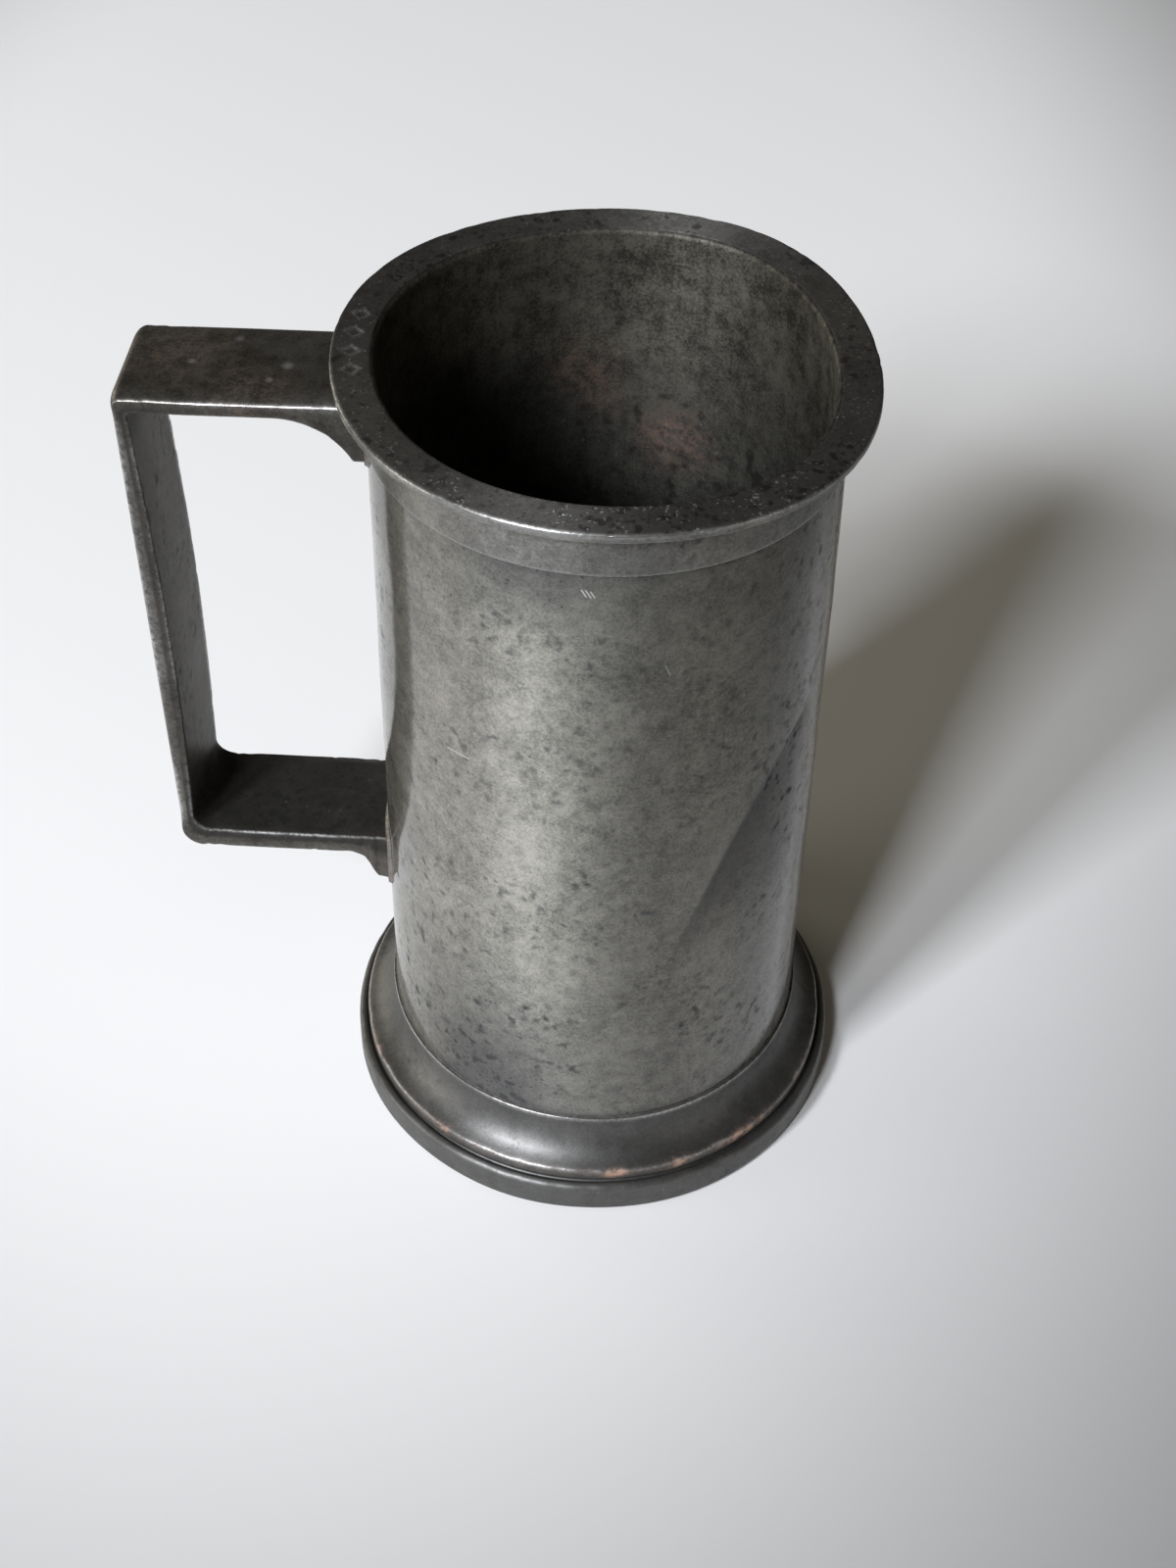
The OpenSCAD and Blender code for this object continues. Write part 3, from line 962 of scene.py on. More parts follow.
@dataclass
class TurnedPiece:
    """A piece turned round the drum's axis: a section carried round a circle."""

    name: str
    node: str
    slot: Slot
    finish: Pewter
    vessel: Vessel = VESSEL
    turns: int = 320
    step: float = 1.2
    closed: bool = True
    inside: Optional[Pewter] = None

    def runs(self) -> Runs:
        """Corners and arcs of the section, anticlockwise."""
        raise NotImplementedError

    def worked(self, angle: Array, r: Array, z: Array) -> tuple[Array, Array]:
        """Section at each angle after years of use: here only out of round with the mouth.

        Args:
            angle: Angles round the axis, a column.
            r: Distances of the section's points from the axis, a row.
            z: Heights of the section's points, a row.

        Returns:
            Distances and heights as full grids.
        """
        return r + self.vessel.bend(angle, z), full(z, angle)

    def masks(self, angle: Array, r: Array, z: Array) -> Masks:
        """Shares of bared metal and painted highlight, of soiling and painted shade, of copper and of scuffs
        over the grid.
        """
        return {}

    def shell(self) -> Shell:
        """Carry the section round the axis: x = r cos a, y = r sin a; an open section ends in two poles.

        Returns:
            Closed surface with the piece's masks.
        """
        line = section_line(self.runs(), self.step, self.closed)
        angle = np.linspace(0.0, 360.0, self.turns, endpoint=False)[:, None]
        poles = np.zeros((0, 3))
        if not self.closed:
            poles = np.column_stack([np.zeros((2, 2)), line[[0, -1], 1]])
            line = line[1:-1]
        row, level = line[None, :, 0], line[None, :, 1]
        r, z = self.worked(angle, row, level)
        a = np.radians(angle)
        grid = np.stack([r * np.cos(a), r * np.sin(a), z], axis=-1)
        points = np.vstack([grid.reshape(-1, 3), poles])
        shell = Shell(points, grid_faces(self.turns, len(line), True, self.closed))
        if not self.closed:
            shell.triangles = self.pole_faces(len(line))
        for mask, share in self.masks(angle, row, level).items():
            spread = np.broadcast_to(share, grid.shape[:2]).ravel()
            shell.masks[mask] = np.concatenate([spread, np.zeros(len(poles))])
        return shell

    def pole_faces(self, cols: int) -> Array:
        """Triangles between the two poles, numbered after the grid, and the ends of its rows.

        Args:
            cols: Number of points in a row of the grid.

        Returns:
            Numbers of the three points of each triangle.
        """
        i = np.arange(self.turns) * cols
        after = np.roll(i, -1)
        first = np.full_like(i, self.turns * cols)
        low = np.stack([first, after, i], axis=-1)
        high = np.stack([first + 1, i + cols - 1, after + cols - 1], axis=-1)
        return np.vstack([low, high])

    def build(self) -> bpy.types.Object:
        """Make the piece and dress it in its finish.

        Returns:
            The new object.
        """
        piece = add_piece(self.shell(), self.name, [self.node])
        self.dress(piece)
        return piece

    def dress(self, piece: bpy.types.Object) -> None:
        """Give the piece its finish, and the faces that look at the axis theirs where it is another one.

        Args:
            piece: The piece's object.
        """
        mesh = piece.data
        mesh.materials.append(self.finish.material())
        if self.inside is None:
            return
        mesh.materials.append(self.inside.material())
        sides = np.zeros((2, len(mesh.polygons) * 3))
        mesh.polygons.foreach_get("center", sides[0])
        mesh.polygons.foreach_get("normal", sides[1])
        centre, normal = sides.reshape(2, -1, 3)[:, :, :2]
        inward = (centre * normal).sum(axis=1) < -INWARD * np.linalg.norm(centre, axis=1)
        mesh.polygons.foreach_set("material_index", inward.astype(np.int32))


@dataclass
class Drum(TurnedPiece):
    """The straight tube, with a thin tongue inside the rim's lap."""

    name: str = "drum_wall"
    node: str = "drum"
    slot: Slot = Slot.DRUM
    finish: Pewter = OUTSIDE
    inside: Optional[Pewter] = BORE
    turns: int = 360
    step: float = 1.5
    bore_round: float = 0.01
    dents: Ripple = Ripple(seed=3, shortest=16.0, longest=60.0)
    dent_depth: float = 0.09
    stiff_below: float = 25.0
    stiff_above: float = 20.0
    crease_ends: tuple[Span, Span] = ((-18.0, 125.0), (-65.0, 72.0))
    crease_fades: tuple[Span, Span] = ((-0.08, 0.2), (1.15, 0.75))
    crease_bow: float = 13.0
    crease_depth: float = 0.58
    crease_rise: float = 0.17
    crease_w: float = 5.0
    crease_steepness: float = 1.6
    crease_spread: float = 3.2
    # Painted shade in a band below the crease, standing for the darker reflection of the wall that its dent
    # tilts
    crease_shade: float = 1.0
    crease_shade_edge: Span = (-1.0, 1.5)
    crease_shade_end: Span = (4.0, -9.0)
    crease_shade_fade: float = 18.0
    outside_t: float = 0.5
    joint_dirt_w: float = 1.6
    collar_dirt: float = 0.2
    lip_dirt: float = 0.7
    lip_z: float = 21.0
    # Darkening towards the drum's top and bottom, most round the front left
    upper_darkening: Sector = Sector(-101.0, 20.0, 0.6, base=0.25)
    upper_darkening_z: float = 150.0
    lower_darkening: Sector = Sector(-115.0, 25.0, 0.85, base=0.2)
    lower_darkening_span: Span = (84.0, 24.0)

    def runs(self) -> Runs:
        """Tube wall between the floor's flange and the collar, and the tongue above it.

        Returns:
            Corners, anticlockwise.
        """
        v = self.vessel
        foot, head = v.under_z + v.solder_t, v.rim_z - v.solder_t
        return [
            Corner(v.bore_r, foot),
            Corner(v.drum_r, foot),
            Corner(v.drum_r, head),
            Corner(v.tongue_r, head),
            Corner(v.tongue_r, v.tongue_z),
            Corner(v.bore_r, v.tongue_z, self.bore_round),
        ]

    def worked(self, angle: Array, r: Array, z: Array) -> tuple[Array, Array]:
        """Wall with soft shallow dents and the crease, deepest at half height and none at its joints.

        Args:
            angle: Angles round the axis, a column.
            r: Distances of the section's points from the axis, a row.
            z: Heights of the section's points, a row.

        Returns:
            Distances and heights as full grids.
        """
        v = self.vessel
        free = eased(z, v.floor_h, v.floor_h + self.stiff_below)
        free = free * eased(z, v.rim_z, v.rim_z - self.stiff_above)
        grid = full(z, angle)
        around = np.broadcast_to(np.radians(angle) * v.drum_r, grid.shape)
        dent = self.dents.at(around, grid) * self.dent_depth
        return r + v.bend(angle, z) + (dent + self.crease(angle, z)) * free, grid

    def crease_place(self, angle: Array, z: Array) -> tuple[Array, Array]:
        """Place about the crease, a line between its ends that bows up by a parabola.

        Args:
            angle: Angles round the axis, a column.
            z: Heights, a row.

        Returns:
            Share of the crease, 1 along it and 0 beyond its faded ends, and millimetres across it.
        """
        (a0, z0), (a1, z1) = self.crease_ends
        arc_mm = np.radians(1.0) * self.vessel.drum_r
        run, fall = (a1 - a0) * arc_mm, z1 - z0
        length = np.hypot(run, fall)
        s = turn_from(angle, a0) * arc_mm
        share = np.clip(s / run, 0.0, 1.0)
        t = z - z0 - 4.0 * self.crease_bow * share * (1.0 - share)
        along = (s * run + t * fall) / length**2
        first, last = self.crease_fades
        return eased(along, *first) * eased(along, *last), (t * run - s * fall) / length

    def crease(self, angle: Array, z: Array) -> Array:
        """Knock that left a crease: the wall rises to a line, drops beyond it and comes back slowly.

        Args:
            angle: Angles round the axis, a column.
            z: Heights, a row.

        Returns:
            How far the wall stands out or in.
        """
        ends, across = self.crease_place(angle, z)
        w = self.crease_w
        beyond = np.maximum(across, 0.0)
        drop = (1.0 - np.exp(-self.crease_steepness * beyond / w)) * bell(beyond, self.crease_spread * w)
        return ends * (self.crease_rise * np.exp(-np.abs(across) / w) - self.crease_depth * drop)

    def masks(self, angle: Array, r: Array, z: Array) -> Masks:
        """Grime under the collar and above the foot's lip, darkening towards the top and the bottom of the
        drum, and painted shade below the crease and in the bore.

        Args:
            angle: Angles round the axis, a column.
            r: Distances of the section's points from the axis, a row.
            z: Heights of the section's points, a row.

        Returns:
            Share of joint lines, darkening and painted shade over the grid.
        """
        v = self.vessel
        outside = r > v.drum_r - self.outside_t
        # darker towards the top and the bottom of the drum
        upper = eased(z, self.upper_darkening_z, v.rim_z) * self.upper_darkening.at(angle)
        lower = eased(z, *self.lower_darkening_span) * self.lower_darkening.at(angle)
        collar = self.collar_dirt * bell(z - v.rim_z, self.joint_dirt_w)
        lip = self.lip_dirt * bell(z - self.lip_z, self.joint_dirt_w)
        # painted shade below the crease
        share, across = self.crease_place(angle, z)
        share = share * eased(turn_from(angle, self.crease_ends[0][0]), *self.crease_shade_end)
        darkening = self.crease_shade * share * eased(across, *self.crease_shade_edge)
        darkening = darkening * np.exp(-np.maximum(across, 0.0) / self.crease_shade_fade)
        return {Mask.GRIME_AND_SHADE: np.where(outside, lip + collar + upper + lower + darkening, v.bore_shade(angle, z))}


@dataclass
class MouthRim(TurnedPiece):
    """Flat flange, the hollow under it and the collar, with a knocked edge and a few plain punch dents."""

    name: str = "mouth_rim"
    node: str = "rim"
    slot: Slot = Slot.RIM
    finish: Pewter = RIM
    inside: Optional[Pewter] = BORE
    turns: int = 720
    step: float = 0.55
    flange_reach: float = 5.9
    flange_t: float = 2.2
    flange_round: float = 0.7
    collar_reach: float = 0.7
    collar_round: float = 0.3
    hollow: float = 4.4
    hollow_steps: int = 12
    mouth_round: float = 1.1
    bore_round: float = 0.01
    nicks: Nicks = Nicks(seed=11, count=60, narrowest=0.5, widest=2.2, deepest=0.14)
    nick_span: Span = (1.2, 0.1)
    nick_drop: float = 0.5
    sway: Ripple = Ripple(seed=5, shortest=25.0, longest=90.0)
    droop: float = 0.10
    still_w: float = 1.0
    still_above: float = 6.0
    still_below: float = 3.0
    punch_angles: tuple[float, ...] = (170.6, 177.5, 184.6, 191.5)
    punch_size: float = 1.9
    punch_depth: float = 0.25
    punch_inset: float = 3.9
    punch_span: Span = (0.5, 0.05)
    punch_edge: float = 0.55
    punch_wear: float = 0.5
    edge_line: Line = Line(0.45, 1.2)
    collar_line: Line = Line(0.35, 0.6)
    collar_line_up: float = 0.1
    hollow_dirt: Line = Line(2.5, 0.1)
    hollow_dirt_up: float = 1.0
    # Bright edge share round the mouth: worn all round, with a painted highlight that raises it at the front
    front: Sector = Sector(-95.0, 60.0, 0.55, base=0.45)
    patch_scale: float = 180.0
    patch_base: float = 0.75
    patch_swing: float = 0.35
    scuffed: Sector = Sector(-80.0, 55.0, 0.6, base=0.2)
    tarnish: Sector = Sector(95.0, 40.0, -0.2, base=1.0)
    top_down: Span = (0.5, 0.1)
    mouth_out: Span = (1.6, 0.8)
    mouth_down: Span = (3.0, 1.2)
    mouth_dirt: float = 0.25
    inner_out: Span = (0.9, 0.2)
    inner_down: Span = (0.4, 1.4)

    @property
    def flange_r(self) -> float:
        """Outer radius of the flange."""
        return self.vessel.drum_r + self.flange_reach

    @property
    def collar_r(self) -> float:
        """Outer radius of the collar."""
        return self.vessel.drum_r + self.collar_reach

    def runs(self) -> Runs:
        """Mouth, flange, hollow, collar and the lap round the drum's tongue.

        Returns:
            Corners and arcs, anticlockwise.
        """
        v = self.vessel
        lap_r, lap_z = v.tongue_r + v.solder_t, v.tongue_z + v.solder_t
        under = v.height - self.flange_t
        centre = (self.collar_r + self.hollow, under - self.hollow)
        return [
            Corner(v.bore_r, lap_z, self.bore_round),
            Corner(lap_r, lap_z),
            Corner(lap_r, v.rim_z),
            Corner(self.collar_r, v.rim_z, self.collar_round),
            arc(centre, self.hollow, 180.0, 90.0, self.hollow_steps),
            Corner(self.flange_r, under, self.flange_round),
            Corner(self.flange_r, v.height, self.flange_round),
            Corner(v.bore_r, v.height, self.mouth_round),
        ]

    def worked(self, angle: Array, r: Array, z: Array) -> tuple[Array, Array]:
        """Rim out of round, its flange swaying a little, its edge nicked and its top punched.

        Args:
            angle: Angles round the axis, a column.
            r: Distances of the section's points from the axis, a row.
            z: Heights of the section's points, a row.

        Returns:
            Distances and heights as full grids.
        """
        v = self.vessel
        along = np.radians(angle) * self.flange_r
        nick = self.nicks.depth(along, 2.0 * np.pi * self.flange_r)
        nick = nick * eased(self.flange_r - r, *self.nick_span)
        top = eased(v.height - z, *self.punch_span)
        sway = self.droop + self.droop * self.sway.at(along, 0.0 * along)
        flange = eased(r, v.bore_r + self.still_w, self.flange_r)
        flange = flange * eased(z, v.rim_z + self.still_above, v.height - self.still_below)
        drop = sway * flange + top * (self.punch_depth * self.punched(angle, r) + self.nick_drop * nick)
        return r + v.bend(angle, z) - nick, z - drop

    def punched(self, angle: Array, r: Array, more: float = 0.0) -> Array:
        """Share of the plain punch dents: lozenges |u| + |v| with steep sides.

        Args:
            angle: Angles round the axis, a column.
            r: Distances from the axis, a row.
            more: How much wider than the dents the lozenges are.

        Returns:
            Share over the grid, 1 at the bottom of a dent.
        """
        away = [np.radians(np.abs(turn_from(angle, a))) * self.flange_r for a in self.punch_angles]
        across = np.abs(r - self.flange_r + self.punch_inset)
        size = self.punch_size
        return sum(np.clip(2.0 * (size + more - u - across) / size, 0.0, 1.0) for u in away)

    def masks(self, angle: Array, r: Array, z: Array) -> Masks:
        """Worn bright edges, most at the front where a highlight is painted on them, a tarnished and scuffed
        top, soiling at the mouth and the bore's painted shade on its inner face.

        Args:
            angle: Angles round the axis, a column.
            r: Distances of the section's points from the axis, a row.
            z: Heights of the section's points, a row.

        Returns:
            Shares of bared metal with painted highlight, of soiling with painted shade, and of scuffs over
            the grid.
        """
        v = self.vessel
        out, down = r - v.bore_r, v.height - z
        patchy = self.sway.at(np.radians(angle) * self.patch_scale, 0.0 * angle)
        patchy = self.patch_base + self.patch_swing * patchy
        edge = self.edge_line.at(r, z, (self.flange_r, v.height - self.flange_round))
        collar = self.collar_line.at(r, z, (self.collar_r, v.rim_z + self.collar_line_up))
        hollow_z = v.height - self.flange_t - self.hollow + self.hollow_dirt_up
        under = self.hollow_dirt.at(r, z, (self.collar_r, hollow_z))
        top = eased(down, *self.top_down)
        mouth = self.mouth_dirt * eased(out, *self.mouth_out) * eased(down, *self.mouth_down)
        # Painted shade of the bore, carried up onto the rim's inner face
        inner = eased(out, *self.inner_out) * eased(down, *self.inner_down) * v.bore_shade(angle, z)
        around = self.punched(angle, r, self.punch_edge) - self.punched(angle, r)
        grime = under + np.maximum(top * self.tarnish.at(angle), np.maximum(mouth, inner))
        # worn edge, plus a painted highlight at the front
        wear = edge * self.front.at(angle) * patchy + collar + top * around * self.punch_wear
        return {Mask.WEAR_AND_HIGHLIGHT: wear, Mask.GRIME_AND_SHADE: grime, Mask.SCUFF: top * self.scuffed.at(angle)}


@dataclass
class FloorPlate(TurnedPiece):
    """Turned floor disc: a spigot inside the drum, a flange under the drum's end and lathe rings beneath."""

    name: str = "floor_plate"
    node: str = "base_plate"
    slot: Slot = Slot.FLOOR
    finish: Pewter = PLATE
    step: float = 0.8
    closed: bool = False
    turns: int = 240
    flange_t: float = 2.4
    flange_w: float = 5.3
    inner_round: float = 0.6
    flange_round: float = 0.3
    ring_pitch: float = 4.0
    ring_depth: float = 0.12
    ring_clear: float = 1.0
    centre_r: float = 1.3
    centre_depth: float = 0.5
    level: float = 0.01
    darkening: float = 0.8
    dirt_w: float = 5.0
    top_t: float = 0.5

    def runs(self) -> Runs:
        """From the middle of the underside out round the flange and back to the middle of the floor.

        Returns:
            Corners, anticlockwise.
        """
        v = self.vessel
        spigot = v.bore_r - v.solder_t
        inner = v.drum_r - self.flange_w
        low = v.under_z - self.flange_t
        return [
            Corner(0.0, v.under_z),
            Corner(inner, v.under_z, self.inner_round),
            Corner(inner, low, self.flange_round),
            Corner(v.drum_r, low),
            Corner(v.drum_r, v.under_z),
            Corner(spigot, v.under_z),
            Corner(spigot, v.floor_h),
            Corner(0.0, v.floor_h),
        ]

    def worked(self, angle: Array, r: Array, z: Array) -> tuple[Array, Array]:
        """Underside with shallow lathe rings, a cosine of the radius, and the dimple of the lathe's centre.

        Args:
            angle: Angles round the axis, a column.
            r: Distances of the section's points from the axis, a row.
            z: Heights of the section's points, a row.

        Returns:
            Distances and heights as full grids.
        """
        v = self.vessel
        flat_r = v.drum_r - self.flange_w - self.ring_clear
        under = (np.abs(z - v.under_z) < self.level) & (r < flat_r)
        ring = self.ring_depth * (1.0 - np.cos(2.0 * np.pi * r / self.ring_pitch)) / 2.0
        lift = np.where(under, ring + self.centre_depth * bell(r, self.centre_r), 0.0)
        return full(r, angle), full(z + lift, angle)

    def masks(self, angle: Array, r: Array, z: Array) -> Masks:
        """Grime in the floor's corner."""
        v = self.vessel
        return {Mask.GRIME_AND_SHADE: self.darkening * bell(r - v.bore_r, self.dirt_w) * (z > v.floor_h - self.top_t)}


@dataclass
class MouldedFoot(TurnedPiece):
    """Hollow foot: lip, scotia, worn edge, turned groove and plinth band."""

    name: str = "moulded_foot"
    node: str = "foot"
    slot: Slot = Slot.FOOT
    finish: Pewter = FOOT
    turns: int = 540
    step: float = 0.6
    reach: float = 9.3
    foot_h: float = 21.4
    band_h: float = 7.8
    band_t: float = 3.5
    band_round: float = 1.2
    rest_round: float = 0.5
    lip_reach: float = 0.6
    lip_h: float = 2.2
    lip_round: float = 0.2
    set_back: float = 2.2
    edge_h: float = 3.1
    edge_round: float = 0.8
    edge_steps: int = 8
    groove_w: float = 0.9
    groove_steps: int = 10
    scotia_t: float = 4.4
    scotia_steps: int = 26
    hollow_steps: int = 10
    ledge_w: float = 2.2
    ledge_t: float = 2.2
    ledge_round: float = 0.3
    seat_drop: float = 2.7
    nicks: Nicks = Nicks(seed=23, count=60, narrowest=0.6, widest=2.4, deepest=0.22)
    edge_nicks: Line = Line(0.8)
    band_nicks: Line = Line(1.4)
    sway: Ripple = Ripple(seed=8, shortest=18.0, longest=70.0)
    sway_depth: float = 0.12
    sway_span: Span = (1.2, 0.3)
    # Lip line share round the foot: worn all round, with a painted highlight that raises it at the front
    front: Sector = Sector(-95.0, 60.0, 0.45, base=0.55)
    patch_base: float = 0.8
    patch_swing: float = 0.4
    lip_line: Line = Line(0.6, 1.05)
    lip_inset: float = 0.2
    edge_line: Line = Line(0.5, 0.5)
    band_line: Line = Line(0.8, 0.05)
    band_inset: float = 0.3
    groove_dirt: Line = Line(0.4, 0.1)
    groove_inset: float = 0.2
    face_dirt: float = 0.1
    face_span: Span = (0.1, -0.3)
    copper_line: Line = Line(1.3)
    copper_out: float = 0.4
    copper_down: float = 0.6
    copper_base: float = 0.1
    copper_cover: float = 0.6
    copper_spots: tuple[Sector, ...] = (
        Sector(-78.5, 3.0, 0.9),
        Sector(-63.4, 2.6, 1.0),
        Sector(-46.0, 4.0, 0.9),
        Sector(-40.0, 4.0, 0.8),
        Sector(-123.6, 2.2, 0.6),
        Sector(-20.0, 5.0, 0.25),
        Sector(60.0, 5.0, 0.7),
        Sector(118.0, 3.0, 0.8),
        Sector(205.0, 5.0, 0.6),
    )

    @property
    def foot_r(self) -> float:
        """Outer radius of the plinth band."""
        return self.vessel.drum_r + self.reach

    @property
    def edge(self) -> Span:
        """Lower edge of the scotia, as distance from the axis and height."""
        return self.foot_r - self.set_back, self.band_h + self.edge_h

    @property
    def lip(self) -> Span:
        """Place where the scotia leaves the lip."""
        return self.vessel.drum_r + self.lip_reach, self.foot_h - self.lip_h

    @property
    def ledge_z(self) -> float:
        """Height of the ledge that carries the floor."""
        return self.vessel.under_z - self.seat_drop

    def scotia(self) -> tuple[Span, float]:
        """Centre and radius of the circle that leaves the lip upright and ends at the edge.

        Returns:
            Centre as distance from the axis and height, and the radius.
        """
        dr, dz = self.edge[0] - self.lip[0], self.lip[1] - self.edge[1]
        radius = (dr * dr + dz * dz) / (2.0 * dr)
        return (self.lip[0] + radius, self.lip[1]), radius

    def edge_rounding(self) -> tuple[Span, float]:
        """Centre of the circle that rounds the edge, and the angle at which it touches the scotia.

        Returns:
            Centre as distance from the axis and height, and the angle in degrees.
        """
        (r, z), radius = self.scotia()
        at_r = self.edge[0] - self.edge_round
        at_z = z - np.sqrt((radius + self.edge_round) ** 2 - (r - at_r) ** 2)
        return (at_r, at_z), float(np.degrees(np.arctan2(z - at_z, r - at_r)))

    def runs(self) -> Runs:
        """Outside from the table up to the lip, then the socket and the hollow underneath.

        Returns:
            Corners and arcs, anticlockwise.
        """
        v = self.vessel
        centre, radius = self.scotia()
        edge_centre, touch = self.edge_rounding()
        socket, ledge_z = v.drum_r + v.solder_t, self.ledge_z
        inner_r = self.foot_r - self.band_t
        back = radius + self.scotia_t
        low = 360.0 - np.degrees(np.arccos((inner_r - centre[0]) / back))
        high = 180.0 + np.degrees(np.arcsin((centre[1] - ledge_z + self.ledge_t) / back))
        return [
            Corner(inner_r, 0.0, self.rest_round),
            Corner(self.foot_r, 0.0, self.band_round),
            Corner(self.foot_r, self.band_h, self.band_round),
            arc((self.edge[0], self.band_h), self.groove_w / 2.0, 0.0, -270.0, self.groove_steps),
            arc(edge_centre, self.edge_round, 0.0, touch, self.edge_steps),
            arc(centre, radius, 180.0 + touch, 180.0, self.scotia_steps),
            Corner(self.lip[0], self.foot_h, self.lip_round),
            Corner(socket, self.foot_h),
            Corner(socket, ledge_z),
            Corner(socket - self.ledge_w, ledge_z),
            Corner(socket - self.ledge_w, ledge_z - self.ledge_t, self.ledge_round),
            arc(centre, back, high, low, self.hollow_steps),
        ]

    def worked(self, angle: Array, r: Array, z: Array) -> tuple[Array, Array]:
        """Foot with a slightly uneven outside and nicks along the scotia's edge and the band.

        Args:
            angle: Angles round the axis, a column.
            r: Distances of the section's points from the axis, a row.
            z: Heights of the section's points, a row.

        Returns:
            Distances and heights as full grids.
        """
        along = np.radians(angle) * self.foot_r
        nick = self.nicks.depth(along, 2.0 * np.pi * self.foot_r)
        outside = eased(self.edge[0] - r, *self.sway_span)
        edges = self.edge_nicks.at(r, z, self.edge) + self.band_nicks.at(r, z, (self.foot_r, self.band_h))
        sway = self.sway_depth * (self.sway.at(along, full(z, angle)) - 1.0)
        return r + outside * sway - edges * nick, full(z, angle)

    def masks(self, angle: Array, r: Array, z: Array) -> Masks:
        """Bright lip and edge lines, the lip's brightest at the front where a highlight is painted, dark
        groove, and copper where the edge is worn through its skin.

        Args:
            angle: Angles round the axis, a column.
            r: Distances of the section's points from the axis, a row.
            z: Heights of the section's points, a row.

        Returns:
            Shares of bared metal with painted highlight, of soiling, and of copper over the grid.
        """
        along = np.radians(angle) * self.foot_r
        patchy = self.patch_base + self.patch_swing * self.sway.at(along, 0.0 * along)
        lip = self.lip_line.at(r, z, (self.lip[0] - self.lip_inset, self.foot_h - self.lip_inset))
        edge = self.edge_line.at(r, z, self.edge) * patchy
        band = self.band_line.at(r, z, (self.foot_r - self.band_inset, self.band_h - self.band_inset))
        groove = self.groove_dirt.at(r, z, (self.edge[0] - self.groove_inset, self.band_h))
        face = self.face_dirt * eased(z - self.band_h, *self.face_span)
        spots = sum(spot.at(angle) for spot in self.copper_spots)
        bare = self.copper_line.at(r, z, (self.edge[0] + self.copper_out, self.edge[1] - self.copper_down))
        kept = 1.0 - self.copper_cover * np.clip(spots, 0.0, 1.0)
        return {
            Mask.WEAR_AND_HIGHLIGHT: lip * self.front.at(angle) * patchy + edge * kept + band,
            Mask.GRIME_AND_SHADE: groove + face,
            Mask.COPPER: (spots + self.copper_base) * bare,
        }


@dataclass
class RingSeam(TurnedPiece):
    """Bed of solder round the axis, with a hollow skin where it was wiped."""

    slot: Slot = Slot.SOLDER
    finish: Pewter = SOLDER
    inside: Optional[Pewter] = BORE
    corners: tuple[Span, ...] = ()
    rounding: float = 0.02
    turns: int = 240
    step: float = 0.8

    def runs(self) -> Runs:
        """Corners of the bed, hardly rounded."""
        return [Corner(r, z, self.rounding) for r, z in self.corners]


@dataclass
class RingSeams:
    """Solder under the collar, round the floor and in the foot's socket, wiped hollow where it shows."""

    foot: MouldedFoot
    bead: float = 0.45
    collar_hollow: Span = (0.12, 0.2)
    floor_hollow: float = 0.15
    lip_hollow: Span = (0.2, 0.05)
    lip_drop: float = 0.1

    def collar(self) -> tuple[Span, ...]:
        """Corners of the bed in the lap between the drum's upper end and the rim.

        Returns:
            Distances from the axis and heights, anticlockwise.
        """
        v, t = self.foot.vessel, self.foot.vessel.solder_t
        return (
            (v.tongue_r, v.rim_z - t),
            (v.drum_r, v.rim_z - t),
            (v.drum_r, v.rim_z - self.bead),
            (v.drum_r + self.collar_hollow[0], v.rim_z - self.collar_hollow[1]),
            (v.drum_r + self.bead, v.rim_z),
            (v.tongue_r + t, v.rim_z),
            (v.tongue_r + t, v.tongue_z + t),
            (v.bore_r, v.tongue_z + t),
            (v.bore_r, v.tongue_z),
            (v.tongue_r, v.tongue_z),
        )

    def floor(self) -> tuple[Span, ...]:
        """Corners of the bed between the drum's lower end and the floor plate.

        Returns:
            Distances from the axis and heights, anticlockwise.
        """
        v, t = self.foot.vessel, self.foot.vessel.solder_t
        return (
            (v.bore_r - t, v.under_z),
            (v.drum_r, v.under_z),
            (v.drum_r, v.under_z + t),
            (v.bore_r, v.under_z + t),
            (v.bore_r, v.floor_h + self.bead),
            (v.bore_r - self.floor_hollow, v.floor_h + self.floor_hollow),
            (v.bore_r - t - self.bead, v.floor_h),
            (v.bore_r - t, v.floor_h),
        )

    def socket(self) -> tuple[Span, ...]:
        """Corners of the bed in the foot's socket, on its ledge and up to its lip.

        Returns:
            Distances from the axis and heights, anticlockwise.
        """
        v, t = self.foot.vessel, self.foot.vessel.solder_t
        outer, ledge_z, lip_z = v.drum_r + t, self.foot.ledge_z, self.foot.foot_h
        return (
            (outer - self.foot.ledge_w, ledge_z),
            (outer, ledge_z),
            (outer, lip_z - self.lip_drop),
            (outer - self.lip_hollow[0], lip_z - self.lip_hollow[1]),
            (v.drum_r, lip_z + self.bead),
            (v.drum_r, ledge_z + t),
            (outer - self.foot.ledge_w, ledge_z + t),
        )

    def pieces(self) -> list[RingSeam]:
        """The three seams.

        Returns:
            Seams of the collar, the floor and the foot.
        """
        return [
            RingSeam("rim_seam", "rim_solder", corners=self.collar()),
            RingSeam("floor_seam", "base_solder", corners=self.floor()),
            RingSeam("foot_seam", "foot_solder", corners=self.socket()),
        ]


